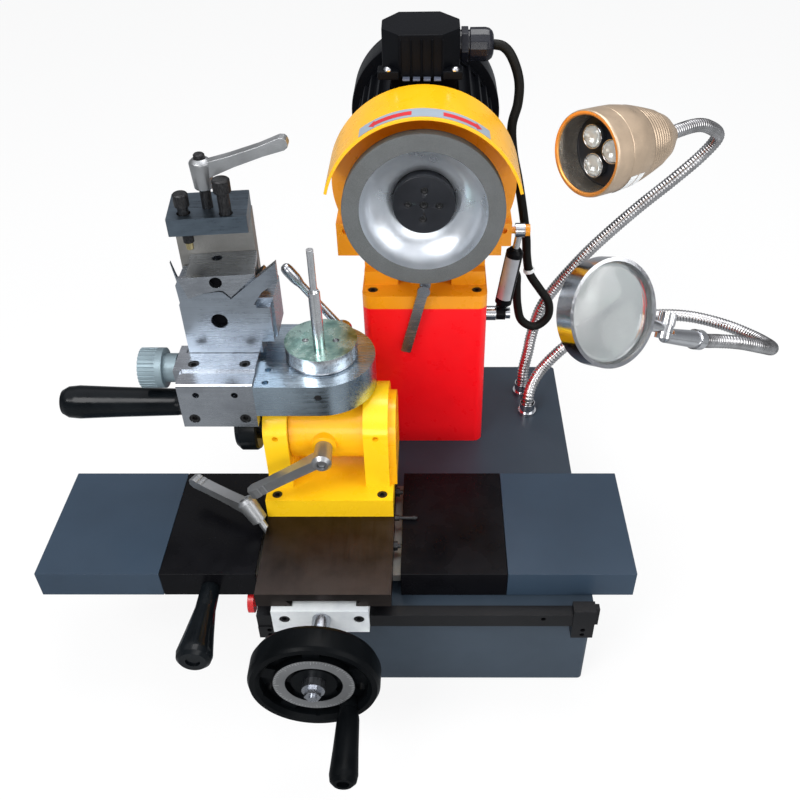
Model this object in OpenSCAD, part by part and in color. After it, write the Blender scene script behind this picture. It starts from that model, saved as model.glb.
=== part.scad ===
// Drill bit sharpener: bench grinder head on a column, with a sliding table,
// a cross slide, a tilting and swinging V-block vise, a lamp and a magnifier.
// Millimetres. Origin on the floor under the middle of the base. X runs to the
// right along the table, Y runs back from the operator, Z is up.

/* [Base cabinet] */
// width of the base
base_w = 269; // [200:1:340]
// depth of the base
base_d = 315.5; // [240:0.5:400]
// height of the base top above the floor
base_top = 101.3; // [80:0.1:140]
// sheet thickness of the base
base_wall = 4; // [2:0.5:8]
// height of the rubber feet
foot_h = 3; // [2:0.5:10]
// diameter of the rubber feet
foot_d = 30; // [15:1:40]

/* [Table] */
// middle of the carriage, from the middle of the base
car_x = -79; // [-90:1:-70]
// width of the cross slide
slide_w = 105; // [90:1:120]
// height of the cross slide top
slide_top = 133; // [130:0.5:140]
// thickness of the cross slide
slide_t = 14; // [12:0.5:18]
// top of the covers
cover_top = 128; // [126:0.5:132]
// length of one grey cover
grey_len = 100; // [60:1:130]
// depth of the covers
cover_d = 114; // [100:1:130]
// thickness of the cover sheet
sheet_t = 1.6; // [1:0.1:3]
// height of the cross feed screw
feed_z = 109; // [108:0.5:112]
// diameter of the cross feed screw
feed_d = 9; // [6:0.5:10]
// outside diameter of the handwheel
wheel_d = 97; // [70:1:110]

/* [Vise] */
// height of the tilt axis
tilt_z = 195; // [185:1:205]
// tilt axis, back from the middle of the base
tilt_y = -41; // [-50:1:-35]
// diameter of the tilting barrel
barrel_d = 56; // [40:1:60]
// underside of the swing arm
arm_z = 232; // [231.5:0.5:240]
// thickness of the swing arm
arm_t = 28.7; // [20:0.1:36]
// height of the lower V-block
vblock_h = 44; // [36:0.5:54]
// height of the V jaw seat above the swing arm
jaw_rise = 48; // [40:1:56]

/* [Grinding head] */
// diameter of the cup wheel
cup_d = 127; // [100:1:150]
// width of the grinding ring
ring_w = 13.5; // [6:0.5:20]
// height of the wheel axis
cup_z = 356.6; // [340:0.5:370]
// face of the wheel, back from the middle of the base
cup_y = 18; // [16:1:24]
// width of the column
col_w = 107.5; // [80:0.5:120]
// depth of the column
col_d = 100; // [80:1:110]
// height of the column top
col_top = 254; // [230:1:260]

/* [Clearances] */
// gap between sliding faces
slide_gap = 0.3; // [0.3:0.05:0.6]
// radial play of a running fit
run_fit = 0.05; // [0.02:0.01:0.1]
// gap between a still and a moving piece
clear_gap = 0.4; // [0.3:0.05:1]

/* [Hidden] */
$fn = 48;
outline_mid = [3.45, -12.7];          // middle of the whole outline, from the base's middle
head_x = -1.3;                        // middle of the column and the head
base_front = -157.75;                 // front wall of the base
base_back = base_front + base_d;
col_right = head_x + col_w / 2;
car_z0 = 111;                         // underside of the carriage plate
car_t = 7;
car_z1 = car_z0 + car_t;
cover_front = -146.4;
cover_back = cover_front + cover_d;
gap_left = car_x - slide_w / 2 - 3.5;   // inner end of the left black cover
gap_right = car_x + slide_w / 2 + 6.5;  // inner end of the right black cover
black_len_l = 76.5;
black_len_r = 85;
grey_left = gap_left - black_len_l - grey_len + 1.5;
grey_right = gap_right + black_len_r + grey_len + 2;
rail_y = -43;
rail_w = 12;
rail_h = 8;
beam_front = -167.6;
beam_back = base_front;
beam_top = 103.6;
beam_low = 90;
block_front = -174.6;
feed_x = car_x - 2;
feed_r = feed_d / 2;
wheel_front = -236;
wheel_back = -215;
grip_dx = 24;
grip_dz = -28;
slide_z0 = slide_top - slide_t;
slide_front = -170.2;
slide_back = 8;
dove_top = 28;                        // half width of the dovetail at its top
dove_low = 24;                        // half width at its root
dove_h = 7;
slot_w = 11.5;                        // half width of the slot for the feed nut
up_r = 35;                            // round top of the bracket uprights
brk_l = car_x - 53.3;
brk_r = car_x + 51.7;
brk_front = -89.2;
brk_base = 19;
upl_a = brk_l + 2.3;
upl_b = brk_l + 21.5;
upr_a = brk_r - 23;
upr_b = brk_r - 3;
shaft_r = 9;
arm_top = arm_z + arm_t;
arm_r = 42;
piv_x = car_x - 3;
piv_y = -34;
arm_front = piv_y - arm_r;
arm_left = -131;
vp_l = -189;                          // vise plate, left end
vp_low = 221.5;
vp_top = 263;
ledge_top = 265;
vb_l = -185.6;                        // lower V-block
vb_r = -127.5;
vb_front = -37.8;
vb_back = 1.5;
vb_top = ledge_top + vblock_h;
v_low = arm_top + jaw_rise;           // bottom of the V
v_front = -33.8;
v_back = -9.4;
jaw_top = 336.5;
cheek_front = vb_front - 2.8;          // front face of the V and of the jaw lip
jaw_l = -184.6;
jaw_r = -128.1;
clp_front = -5.4;                     // clamp column
clp_back = 11.5;
blk_z0 = 365.8;                       // top block
blk_z1 = 379;
blk_front = -31.7;
blk_back = 10.2;
blk_w = 57;
jl_x = -157.3;                        // jaw screw
jl_y = -13.9;
jl_r = 4;
jaw_yaw = 6.4;                        // the clamp stands a little askew
jl_z = 394.5;                         // underside of the jaw lever hub
screw_a = [-142.5, -23.8];            // long clamp screw
screw_b = [-173, -23.5];              // short clamp screw
stop_y = -140.5;
stop_z = 87.8;
stop_r = 10;
slide_lean = 38;                      // lean of the slide lock
drum_y = -43;
drum_z = 257;
drum_r = 16;
head_y = 84;                          // tilt pin of the head
head_z = 279;
pin_r = 5;
plate_y0 = 68;
plate_y1 = 80;
guard_r = 77.5;
guard_t = 2.4;
guard_y0 = 13.6;
guard_y1 = 79;
motor_r = 62;
motor_y1 = 216;
fan_r = 69.4;
fan_y1 = 268;
gas_a = [67, 72, 228.5];              // lower eye of the gas spring
gas_b = [79.4, 72, 312.7];            // upper eye
gas_v = gas_b - gas_a;
gas_len = norm(gas_v);
gas_tilt = atan2(gas_v[0], gas_v[2]);
lens_c = [132, -62, 319];             // middle of the magnifier
lens_r = 40;
lens_az = -56.6;
lens_el = 24.2;
lens_arm = 60.4;                      // side of the rim that carries the joint
lens_reach = 59.7;
lamp_c = [122, 43, 393];              // middle of the lamp ring
lamp_dir = [80, 64, -11];

// routes of the two bending necks and of the motor cable
lamp_path = [
    [97, 115, 105], [97, 115, 118], [98, 119, 130], [102, 127, 146], [105, 134, 160],
    [112, 142, 184], [123, 147, 203], [142, 148, 231], [163, 152, 255],
    [196, 158, 287], [228, 162, 316], [251, 166, 338], [259, 160, 358],
    [243, 142, 374], [226, 129, 380], [197, 103, 382.8]
];
mag_path = [
    [100, 83, 105], [100, 83, 118], [102, 88, 127], [107, 95, 135], [114, 102, 142],
    [125, 106, 154], [138, 110, 165], [160, 116, 176], [190, 121, 186],
    [222, 122, 192], [254, 117, 194], [284, 103, 194], [304, 82, 196],
    [311, 58, 203], [304, 34, 216], [286, 15, 232], [262, 3, 245],
    [241, -3, 251], [228.3, -11.4, 257.3], [214, -22, 266.5]
];
cable_path = [
    [54, 130, 449.5], [62, 129, 446], [70, 127, 437], [76, 125, 420],
    [76, 123, 402], [72, 121, 384], [74, 119, 362], [80, 117, 336],
    [86, 115, 306], [90, 114, 282], [92, 114, 262], [96, 114, 244],
    [106, 114, 228], [116, 114, 212], [116, 113, 196], [104, 112, 186],
    [91, 111, 194], [86, 110, 212], [84, 109, 232], [83, 108, 246],
    [78, 107, 253], [72, 106, 246], [71, 105, 230],
    [col_right + 16.05, 104, 213],
    [col_right + 11.05, 103, 207.6], [col_right + 8.55, 103, 207],
    [col_right + 6.05, 103, 207]
];

// middle of the fixed eye of the magnifier joint
lens_eye = let (t = 90 - lens_el, u = lens_reach * cos(lens_arm) + 5.4 * sin(lens_arm),
    w = lens_reach * sin(lens_arm) - 5.4 * cos(lens_arm))
    lens_c + [
        cos(lens_az) * cos(t) * u - sin(lens_az) * w,
        sin(lens_az) * cos(t) * u + cos(lens_az) * w,
        -sin(t) * u
    ];
mag_end = mag_path[len(mag_path) - 1];

// ---------- helpers ----------

// box from its low corner to its high corner
module span(a, b) {
    translate(a) cube(b - a);
}

// flat rounded rectangle, corners of radius r
module round_rect(w, d, r) {
    square([w - 2 * r, d], center = true);
    square([w, d - 2 * r], center = true);
    for (sx = [-1, 1])
        for (sy = [-1, 1])
            translate([sx * (w / 2 - r), sy * (d / 2 - r)]) circle(r);
}

// upright block with rounded corners, from corner a to corner b
module round_span(a, b, r) {
    c = (a + b) / 2;
    translate([c[0], c[1], a[2]])
        linear_extrude(b[2] - a[2]) round_rect(b[0] - a[0], b[1] - a[1], r);
}

// cylinder along X, Y or Z from a start point
module rod_x(p, r, len) {
    translate(p) rotate([0, 90, 0]) cylinder(h = len, r = r);
}
module rod_y(p, r, len) {
    translate(p) rotate([-90, 0, 0]) cylinder(h = len, r = r);
}
module rod_z(p, r, len) {
    translate(p) cylinder(h = len, r = r);
}

// socket cap screw pointing down, top of the head at z = 0
module cap_screw(r, len) {
    difference() {
        union() {
            translate([0, 0, -2 * r]) cylinder(h = 2 * r, r = 1.6 * r);
            translate([0, 0, -2 * r - len]) cylinder(h = len + 0.1, r = r);
        }
        translate([0, 0, -r]) cylinder(h = r + 0.1, r = 0.95 * r, $fn = 6);
    }
}

// hole for a cap screw, counterbored from z = 0 down by one head
module cap_hole(r, len) {
    translate([0, 0, -2 * r - 0.5]) cylinder(h = 2 * r + 1.5, r = 1.6 * r + 0.3);
    translate([0, 0, -2 * r - len - 0.5]) cylinder(h = len + 1, r = r);
}

// clamping lever: hub on the z axis, arm rising along +x, stud going down
module clamp_lever(reach, rise, stud, hub_h = 19, low = 12, flat = 1) {
    hub_r = 8;
    ang = atan2(rise, reach);
    arm = norm([reach, rise]);
    difference() {
        union() {
            cylinder(h = hub_h, r1 = hub_r * 0.86, r2 = hub_r);
            translate([0, 0, hub_h]) cylinder(h = 3 * flat, r1 = hub_r, r2 = 5.4);
            translate([0, 0, low]) rotate([90, -ang, 0])
                linear_extrude(8.6, center = true)
                    polygon([
                        [0, -6 * flat], [arm * 0.35, -4.2 * flat], [arm * 0.7, -3.8 * flat],
                        [arm - 4, -4.6 * flat], [arm, -2.4 * flat], [arm, 2.6 * flat],
                        [arm - 4, 4.8 * flat], [arm * 0.7, 3.9 * flat],
                        [arm * 0.35, 4.4 * flat], [0, 6 * flat]
                    ]);
        }
        for (k = [0:2])
            translate([0, 0, low]) rotate([90, -ang, 0])
                translate([arm - 9 - 5 * k, 5.2 * flat, -6]) cylinder(h = 12, r = 1.3);
        translate([0, 0, hub_h - 4]) cylinder(h = 9, r = 3.6);
    }
    translate([0, 0, hub_h - 4]) cylinder(h = 4 + flat, r = 2.9);
    translate([0, 0, -stud]) cylinder(h = stud + 1, r = 4);
}

// round black handle along +z, thin end at z = 0
module taper_handle(r0, r1, len) {
    rotate_extrude() polygon([
        [0, 0], [r0, 0], [r0 + 0.4, 3], [r0 + (r1 - r0) * 0.55, len * 0.5],
        [r1, len * 0.86], [r1 - 0.8, len * 0.95], [r1 - 3.4, len], [0, len]
    ]);
}

// tube swept along a list of points, one ring at each point
function path_dir(p, i) =
    let (a = p[max(0, i - 1)], b = p[min(len(p) - 1, i + 1)])
    (b - a) / norm(b - a);
function side_of(d, s) = let (v = s - d * (s * d)) v / norm(v);
function sides_of(p, i, s) =
    i == len(p) ? [] :
    let (v = side_of(path_dir(p, i), s)) concat([v], sides_of(p, i + 1, v));
// extra points between the given ones, on a smooth curve
function bend(p, i, t) =
    let (n = len(p) - 1, a = p[max(0, i - 1)], b = p[i], c = p[min(n, i + 1)],
         d = p[min(n, i + 2)])
    0.5 * (2 * b + (c - a) * t + (2 * a - 5 * b + 4 * c - d) * t * t
        + (3 * b - a - 3 * c + d) * t * t * t);
function smooth(p, k) = concat(
    [for (i = [0:len(p) - 2]) for (j = [0:k - 1]) bend(p, i, j / k)],
    [p[len(p) - 1]]);
module tube_along(p, r, n, side) {
    m = len(p);
    s = sides_of(p, 0, side);
    ring = [for (i = [0:m - 1])
        let (d = path_dir(p, i), u = s[i], w = cross(d, u))
        for (j = [0:n - 1])
            p[i] + r * cos(360 * j / n) * u + r * sin(360 * j / n) * w];
    walls = [for (i = [0:m - 2]) for (j = [0:n - 1])
        let (q = (j + 1) % n)
        [i * n + j, (i + 1) * n + j, (i + 1) * n + q, i * n + q]];
    polyhedron(ring, concat(walls, [[for (j = [0:n - 1]) j]],
        [[for (j = [n - 1:-1:0]) (m - 1) * n + j]]));
}

// the machine stands with the middle of its whole outline over the origin
module home() translate([-outline_mid[0], -outline_mid[1], 0]) children();

// ---------- base ----------

module base_shell() color([0.25, 0.3, 0.37]) home() difference() {
    round_span([-base_w / 2, base_front, foot_h],
        [base_w / 2, base_back, base_top], 4);
    round_span([base_wall - base_w / 2, base_front + base_wall, foot_h - 1],
        [base_w / 2 - base_wall, base_back - base_wall, base_top - base_wall], 2);
    // wires of the lamp, the column and the stop button
    rod_z([97, 115, base_top - 8], 4, 10);
    rod_z([head_x, 90, base_top - 8], 12, 10);
    rod_x([-base_w / 2 - 1, stop_y, stop_z], 8, 10);
}

module base_plate() color([0.25, 0.3, 0.37]) home()
    round_span([base_wall - base_w / 2 + 0.2, base_front + base_wall + 0.2, foot_h],
        [base_w / 2 - base_wall - 0.2, base_back - base_wall - 0.2, foot_h + 2.5], 2.5);

module base_foot() color([0.1, 0.1, 0.1]) home()
    for (sx = [-1, 1])
        for (y = [base_front + 28, base_back - 28])
            translate([sx * (base_w / 2 - 28), y, 0])
                difference() {
                    cylinder(h = foot_h, r1 = foot_d / 2 - 1, r2 = foot_d / 2);
                    translate([0, 0, -0.1]) cylinder(h = 1.6, r = 5);
                }

module rear_rail() color([0.7, 0.71, 0.72]) home() difference() {
    span([-124, rail_y - rail_w / 2, base_top], [124, rail_y + rail_w / 2, base_top + rail_h]);
    for (x = [-110:44:110])
        rod_z([x, rail_y, base_top + rail_h - 3.5], 4, 4);
}

module way_beam() color([0.2, 0.2, 0.21]) home() {
    difference() {
        span([-base_w / 2 + 0.5, beam_front, beam_low], [base_w / 2 - 0.5, beam_back, beam_top]);
        rod_y([93, beam_front - 1, beam_top - 4.5], 2, 6);
    }
    // end brackets that carry the beam on the base front
    for (s = [0, 1])
        difference() {
            span([s * 250.5 - 134, beam_front - 0.9, 76],
                [s * 250.5 - 116.5, beam_back, s > 0 ? beam_top + 5.4 : beam_low]);
            for (z = [80, 86])
                rod_y([s * 250.5 - 125.2, beam_front - 2, z], 2, 5);
        }
    span([base_w / 2 - 0.5, beam_front + 3, 88], [base_w / 2 + 3, beam_back - 1, beam_top + 3.5]);
}

// ---------- column and head base ----------

module column() color([0.85, 0.1, 0.1]) home() difference() {
    round_span([head_x - col_w / 2, 40.3, base_top],
        [head_x + col_w / 2, 40.3 + col_d, col_top], 8);
    round_span([head_x - col_w / 2 + 8, 48.3, base_top - 1],
        [head_x + col_w / 2 - 8, 32.3 + col_d, col_top - 10], 4);
    rod_x([col_right - 9, 103, 207], 7.2, 12);
    rod_x([col_right - 9, gas_a[1], gas_a[2]], 3, 12);
    for (sx = [-1, 1])
        rod_z([head_x + sx * 44.8, 51.5, col_top - 12], 2.6, 13);
}

module head_base() color([0.95, 0.62, 0.08]) home() difference() {
    union() {
        round_span([head_x - col_w / 2, 40.3, col_top],
            [head_x + col_w / 2, 40.3 + col_d, col_top + 12.7], 8);
        for (s = [-1, 1])
            difference() {
                union() {
                    span([head_x + s * 37.5 - 14.5, 59, col_top + 12],
                        [head_x + s * 37.5 + 14.5, head_y + 16, head_z + 1]);
                    span([head_x + s * 37.5 - 14.5, 68, head_z],
                        [head_x + s * 37.5 + 14.5, head_y + 11, head_z + 9.5]);
                }
                rod_x([head_x + s * 37.5 - 20, head_y, head_z], pin_r, 40);
            }
        // boss of the head lever, between the ears
        span([-13, 60, col_top + 12], [9, 67.5, head_z + 7]);
    }
    for (sx = [-1, 1])
        translate([head_x + sx * 44.8, 51.5, col_top + 12.8]) cap_hole(2.6, 12);
    rod_y([-2, 58, head_z - 2], 3.5 + run_fit, 16);
}

module head_pin() color([0.7, 0.71, 0.72]) home()
    rod_x([head_x - 52, head_y, head_z], pin_r - 0.02, 104);

module head_screws() color([0.12, 0.12, 0.13]) home() {
    for (sx = [-1, 1])
        translate([head_x + sx * 44.8, 51.5, col_top + 12.3]) cap_screw(2.48, 17);
}

module stop_box() color([0.75, 0.76, 0.78]) home()
    difference() {
        union() {
            rod_x([-base_w / 2 - 3, stop_y, stop_z], stop_r + 1, 3);
            rod_x([-base_w / 2 - 1, stop_y, stop_z], 7.8, base_wall + 16);
        }
        rod_x([-base_w / 2 - 9, stop_y, stop_z], 5 + clear_gap, 30);
    }

module stop_button() color([0.85, 0.08, 0.08]) home() {
    rod_x([-base_w / 2 - 11, stop_y, stop_z], stop_r, 5);
    rod_x([-base_w / 2 - 7, stop_y, stop_z], 5, 20);
}

// ---------- lamp and magnifier necks ----------

// frame along the sleeve, from the end of the magnifier neck to the joint
module on_sleeve() {
    v = lens_eye - mag_end;
    translate(mag_end - 8 * v / norm(v))
        rotate([0, 0, atan2(v[1], v[0])])
            rotate([0, 90 - atan2(v[2], norm([v[0], v[1]])), 0]) children();
}

module neck_sockets() color([0.72, 0.73, 0.75]) home() {
    for (p = [lamp_path[0], mag_path[0]])
        translate([p[0], p[1], base_top]) difference() {
            union() {
                cylinder(h = 4, r = 9);
                cylinder(h = 13, r = 7.4);
            }
            translate([0, 0, 3]) cylinder(h = 20, r = 6.4);
        }
    // sleeve that joins the magnifier neck to its joint
    difference() {
        union() {
            on_lens() translate([lens_reach, -2.5 - clear_gap, 0]) rotate([90, 0, 0])
                cylinder(h = 5, r = 6.5);
            on_sleeve() cylinder(h = norm(lens_eye - mag_end) + 6, r1 = 7.4, r2 = 5.6);
            on_sleeve() cylinder(h = 9, r = 8.2);
        }
        on_sleeve() translate([0, 0, -1]) cylinder(h = 12, r = 6.4);
        on_lens() translate([lens_reach, 0, 0]) rotate([90, 0, 0])
            cylinder(h = 14, r = 2.5 + run_fit);
        on_lens() translate([lens_reach, 8, 0]) rotate([90, 0, 0])
            cylinder(h = 10.5 + clear_gap, r = 9);
    }
}

module lamp_neck() color([0.8, 0.8, 0.82]) home()
    tube_along(smooth(lamp_path, 4), 5.9, 10, [1, 0, 0]);

module magnifier_neck() color([0.8, 0.8, 0.82]) home()
    tube_along(smooth(mag_path, 3), 5.9, 10, [1, 0, 0]);

module lamp_head() color([0.62, 0.5, 0.35]) home()
    translate(lamp_c) rotate([0, 0, atan2(lamp_dir[1], lamp_dir[0])])
        rotate([0, 90 - atan2(lamp_dir[2], norm([lamp_dir[0], lamp_dir[1]])), 0])
            difference() {
                union() {
                    rotate_extrude() polygon([
                        [0, 22], [29, 22], [29, 0], [32, 0], [33, 2], [33, 30],
                        [31, 33], [30, 40], [27.5, 42], [27.5, 44], [29, 45.5],
                        [29, 48], [27, 50], [25.4, 50], [25.4, 52.5],
                        [26.8, 54], [26.8, 56.5], [24.6, 58.5], [23, 58.5],
                        [23, 61], [24.4, 62.5], [24.4, 65], [22, 67],
                        [20, 67], [20, 69.5], [21.6, 71], [21.6, 74],
                        [18, 77], [11, 86], [9, 101], [0, 101]
                    ]);
                    for (k = [0:2])
                        rotate([0, 0, 120 * k + 30]) translate([13.5, 0, 15])
                            cylinder(h = 8, r = 9.4);
                }
                translate([0, 0, 90]) cylinder(h = 20, r = 6.3);
            }

// ---------- table carriage ----------

module carriage_plate() color([0.3, 0.3, 0.31]) home() {
    difference() {
        union() {
            span([grey_left + 12, -139, car_z0], [grey_right - 12, cover_back - 6, car_z1]);
            // runner on the rear rail
            span([car_x - 46, rail_y - 12, base_top + 2], [car_x + 46, rail_y + 9.5, car_z0 + 1]);
            // boss for the traverse handle
            span([-184, -139, 104.5], [-161, -122, car_z0 + 1]);
            // blocks under the covers
            for (x = [grey_left + 20, gap_left - 24, gap_right + 14, grey_right - 30])
                span([x, -118, car_z1 - 1], [x + 10, -62, cover_top - sheet_t]);
        }
        span([feed_x - slot_w, -140, car_z0 - 9], [feed_x + slot_w, -53, car_z1 + 1]);
        span([car_x - 47, rail_y - rail_w / 2 - slide_gap, base_top],
            [car_x + 47, rail_y + rail_w / 2 + slide_gap, base_top + rail_h + slide_gap]);
        rod_y([-172.5, -140, 112], 4, 16);
        for (sx = [-1, 1])
            for (y = [-128, -66])
                rod_z([car_x + sx * 21, y, car_z0 - 1], 2.5, 12);
    }
}

// sheet cover, open below and at its inner end
module cover(x0, x1, closed_low, closed_high) {
    difference() {
        span([x0, cover_front, 102.5], [x1, cover_back, cover_top]);
        span([x0 + (closed_low ? sheet_t : -1), cover_front + sheet_t, 101],
            [x1 - (closed_high ? sheet_t : -1), cover_back - sheet_t, cover_top - sheet_t]);
    }
}

module grey_covers() color([0.26, 0.31, 0.38]) home() {
    cover(grey_left, grey_left + grey_len - 1.5, true, false);
    cover(grey_right - grey_len - 2, grey_right, false, true);
}

module black_covers() color([0.03, 0.03, 0.03]) home() difference() {
    union() {
        cover(grey_left + grey_len - 1.2, gap_left, false, false);
        cover(gap_right, grey_right - grey_len - 2.3, false, false);
    }
    rod_y([-172.5, cover_front - 1, 112], 4.5, 4);
}

module bearing_block() color([0.75, 0.76, 0.77]) home() difference() {
    union() {
        span([-120, block_front, 92], [-44.5, beam_front - slide_gap, car_z1]);
        span([-120, beam_front - 1, beam_top + slide_gap], [-44.5, -139, car_z1]);
    }
    rod_y([feed_x, block_front - 1, feed_z], feed_r + run_fit, 9);
    span([feed_x - 6, beam_front - 0.2, 90], [feed_x + 6, -138, feed_z + 6]);
    translate([-110, block_front, 108]) rotate([90, 0, 0]) cap_hole(2.5, 20);
    translate([-52, block_front, 108]) rotate([90, 0, 0]) cap_hole(2.5, 20);
}

module carriage_screws() color([0.15, 0.15, 0.16]) home() {
    for (x = [-110, -52])
        translate([x, block_front + 0.5, 108]) rotate([90, 0, 0]) cap_screw(2.48, 14);
    for (sx = [-1, 1])
        for (y = [-128, -66])
            translate([car_x + sx * 21, y, car_z0 - 5]) mirror([0, 0, 1])
                cap_screw(2.48, 9);
}

module dovetail_way() color([0.5, 0.5, 0.51]) home() difference() {
    translate([car_x, cover_front + 9, car_z1]) rotate([90, 0, 180])
        linear_extrude(99) polygon([
            [-dove_low, 0], [-dove_top, dove_h - slide_gap],
            [dove_top, dove_h - slide_gap], [dove_low, 0]
        ]);
    span([feed_x - slot_w, -150, car_z1 - 1], [feed_x + slot_w, -30, car_z1 + dove_h + 1]);
    for (sx = [-1, 1])
        for (y = [-128, -66])
            rod_z([car_x + sx * 21, y, car_z1 - 1], 2.5, 4.2);
}

module traverse_handle() color([0.04, 0.04, 0.04]) home() {
    translate([-172.5, cover_front - 0.4, 112]) rotate([90, 0, 0]) difference() {
        union() {
            cylinder(h = 23, r1 = 7.6, r2 = 8.1);
            translate([0, 0, 21]) taper_handle(8, 13.8, 48);
        }
        translate([0, 0, 66]) cylinder(h = 6, r = 5.5);
    }
    translate([-172.5, cover_front - 66, 112]) rotate([90, 0, 0]) cylinder(h = 1.8, r = 5.3);
    rod_y([-172.5, cover_front - 2, 112], 3.95, 22);
}

// ---------- cross feed ----------

module lead_screw() color([0.72, 0.73, 0.74]) home() {
    rod_y([feed_x, wheel_front + 2, feed_z], feed_r, -wheel_front - 2 - 54);
    // collar between the handwheel and the block
    rod_y([feed_x, wheel_back + 3, feed_z], 7.3, -wheel_back - 3 + block_front - 0.4);
    // centre boss and nut
    rod_y([feed_x, wheel_front - 2, feed_z], 8.5, 8);
    translate([feed_x, wheel_front - 2, feed_z]) rotate([90, 0, 0])
        cylinder(h = 5, r = 6.2, $fn = 6);
    rod_y([feed_x, wheel_front - 9, feed_z], 3, 8);
}

module handwheel() color([0.05, 0.05, 0.05]) home()
    translate([feed_x, wheel_back, feed_z]) rotate([90, 0, 0]) difference() {
        union() {
            // rim and hub
            rotate_extrude() polygon([
                [wheel_d / 2 - 9, 2], [wheel_d / 2 - 2, 0], [wheel_d / 2, 4],
                [wheel_d / 2, 17], [wheel_d / 2 - 2, 21], [wheel_d / 2 - 6, 21],
                [wheel_d / 2 - 9, 18]
            ]);
            translate([0, 0, 3.6]) cylinder(h = 13, r = 17);
            translate([0, 0, 6]) cylinder(h = 6, r = wheel_d / 2 - 7);
            for (k = [0:4])
                rotate([0, 0, 72 * k + 18]) translate([8, -6, 5]) cube([wheel_d / 2 - 16, 12, 10.4]);
            translate([grip_dx, grip_dz, 3.2]) cylinder(h = 17.8, r = 7);
            // graduated ring
            difference() {
                translate([0, 0, 10]) cylinder(h = 8, r = 30);
                translate([0, 0, 9]) cylinder(h = 12, r = 21);
            }
        }
        translate([0, 0, -1]) cylinder(h = 25, r = feed_r);
        translate([0, 0, -2]) cylinder(h = 5.1, r = 7.4);
        translate([0, 0, 15]) cylinder(h = 12, r = 8.6);
        // lightening slots between the lobes
        for (k = [0:4])
            rotate([0, 0, 72 * k + 54]) translate([35.5, 0, 3]) cylinder(h = 16, r = 4.6);
        translate([grip_dx, grip_dz, 8]) cylinder(h = 14, r = 4);
    }

module handwheel_grip() color([0.04, 0.04, 0.04]) home()
    translate([feed_x + grip_dx, wheel_front - clear_gap, feed_z + grip_dz])
        rotate([90, 0, 0]) {
            difference() {
                union() {
                    translate([0, 0, 5]) taper_handle(8, 10.4, 52);
                    cylinder(h = 6, r1 = 7, r2 = 8);
                }
                translate([0, 0, 53]) cylinder(h = 6, r = 4.6);
            }
            translate([0, 0, 51]) cylinder(h = 3.5, r = 4.4);
            translate([0, 0, -12]) cylinder(h = 14, r = 4 - run_fit);
        }

// ---------- cross slide and tilting bracket ----------

// half width of the slide's dovetail at a height above its underside
function dove_x(z) = dove_low + slide_gap * 1.2
    + (z + slide_z0 - car_z1) * (dove_top - dove_low) / (dove_h - slide_gap);

module cross_slide() color([0.32, 0.3, 0.28]) home() {
    difference() {
        span([car_x - slide_w / 2, slide_front, slide_z0], [car_x + slide_w / 2, slide_back, slide_top]);
        translate([car_x, slide_front - 1, slide_z0]) rotate([90, 0, 180])
            linear_extrude(slide_back - slide_front + 2) polygon([
                [-dove_x(-1), -1], [-dove_x(dove_h - 0.7), dove_h - 0.7],
                [dove_x(dove_h - 0.7), dove_h - 0.7], [dove_x(-1), -1]
            ]);
        for (x = [brk_l + 9, brk_r - 9])
            rod_z([x, brk_front + 7.4, slide_top - 10], 2.5, 11);
        // seat of the slide lock stud
        lock_frame() translate([0, 0, -17]) cylinder(h = 17, r = 3.2);
        // holes of the gib screws and of the oil nipple
        for (y = [-116, -55])
            rod_x([car_x + slide_w / 2 - 3.5, y, slide_z0 + 8], 2, 5);
    }
    // feed nut
    difference() {
        span([feed_x - slot_w + 1.2, -114, 103.2], [feed_x + slot_w - 1.2, -90, slide_z0 + dove_h]);
        rod_y([feed_x, -115, feed_z], feed_r + run_fit, 26);
    }
}

module swing_bracket() color([1, 0.8, 0.12]) home() difference() {
    union() {
        span([brk_l, brk_front, slide_top], [brk_r, 7, slide_top + brk_base]);
        for (a = [[upl_a, upl_b], [upr_a, upr_b]]) {
            span([a[0], -73.4, slide_top + brk_base - 1], [a[1], tilt_y + 32.4, tilt_z]);
            intersection() {
                rod_x([a[0], tilt_y, tilt_z], up_r, a[1] - a[0]);
                span([a[0], -73.4, tilt_z - 1], [a[1], tilt_y + 32.4, tilt_z + 40]);
            }
        }
        // web behind the barrel
        span([upl_b - 1, tilt_y + 14, slide_top + brk_base - 1],
            [upr_a + 1, tilt_y + 30, tilt_z - barrel_d / 2 - 6]);
    }
    rod_x([upl_a - 1, tilt_y, tilt_z], shaft_r, upr_b - upl_a + 2);
    for (x = [brk_l + 9, brk_r - 9])
        translate([x, brk_front + 7.4, slide_top + brk_base]) cap_hole(2.5, 16);
    for (x = [(upl_a + upl_b) / 2, (upr_a + upr_b) / 2])
        rod_y([x, -74.5, tilt_z + 10.5], 2.6, 6);
}

module slide_screws() color([0.7, 0.68, 0.6]) home() {
    for (x = [brk_l + 9, brk_r - 9])
        translate([x, brk_front + 7.4, slide_top + brk_base - 0.5]) cap_screw(2.48, 22);
    // gib screws with their nuts, and an oil nipple between them
    for (y = [-116, -55])
        translate([car_x + slide_w / 2 - 3, y, slide_z0 + 8]) rotate([0, 90, 0]) {
            cylinder(h = 9, r = 1.95);
            translate([0, 0, 3]) cylinder(h = 3.4, r = 4, $fn = 6);
        }
    translate([car_x + slide_w / 2, -88, slide_z0 + 11.2]) rotate([0, 90, 0]) {
        cylinder(h = 4, r = 2.6);
        cylinder(h = 19, r = 1.5);
        translate([0, 0, 15]) cylinder(h = 2.5, r = 1.9);
    }
}

module cross_shaft() color([0.7, 0.71, 0.72]) home()
    rod_x([upl_a - 12, tilt_y, tilt_z], shaft_r, upr_b - upl_a + 12.5);

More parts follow.
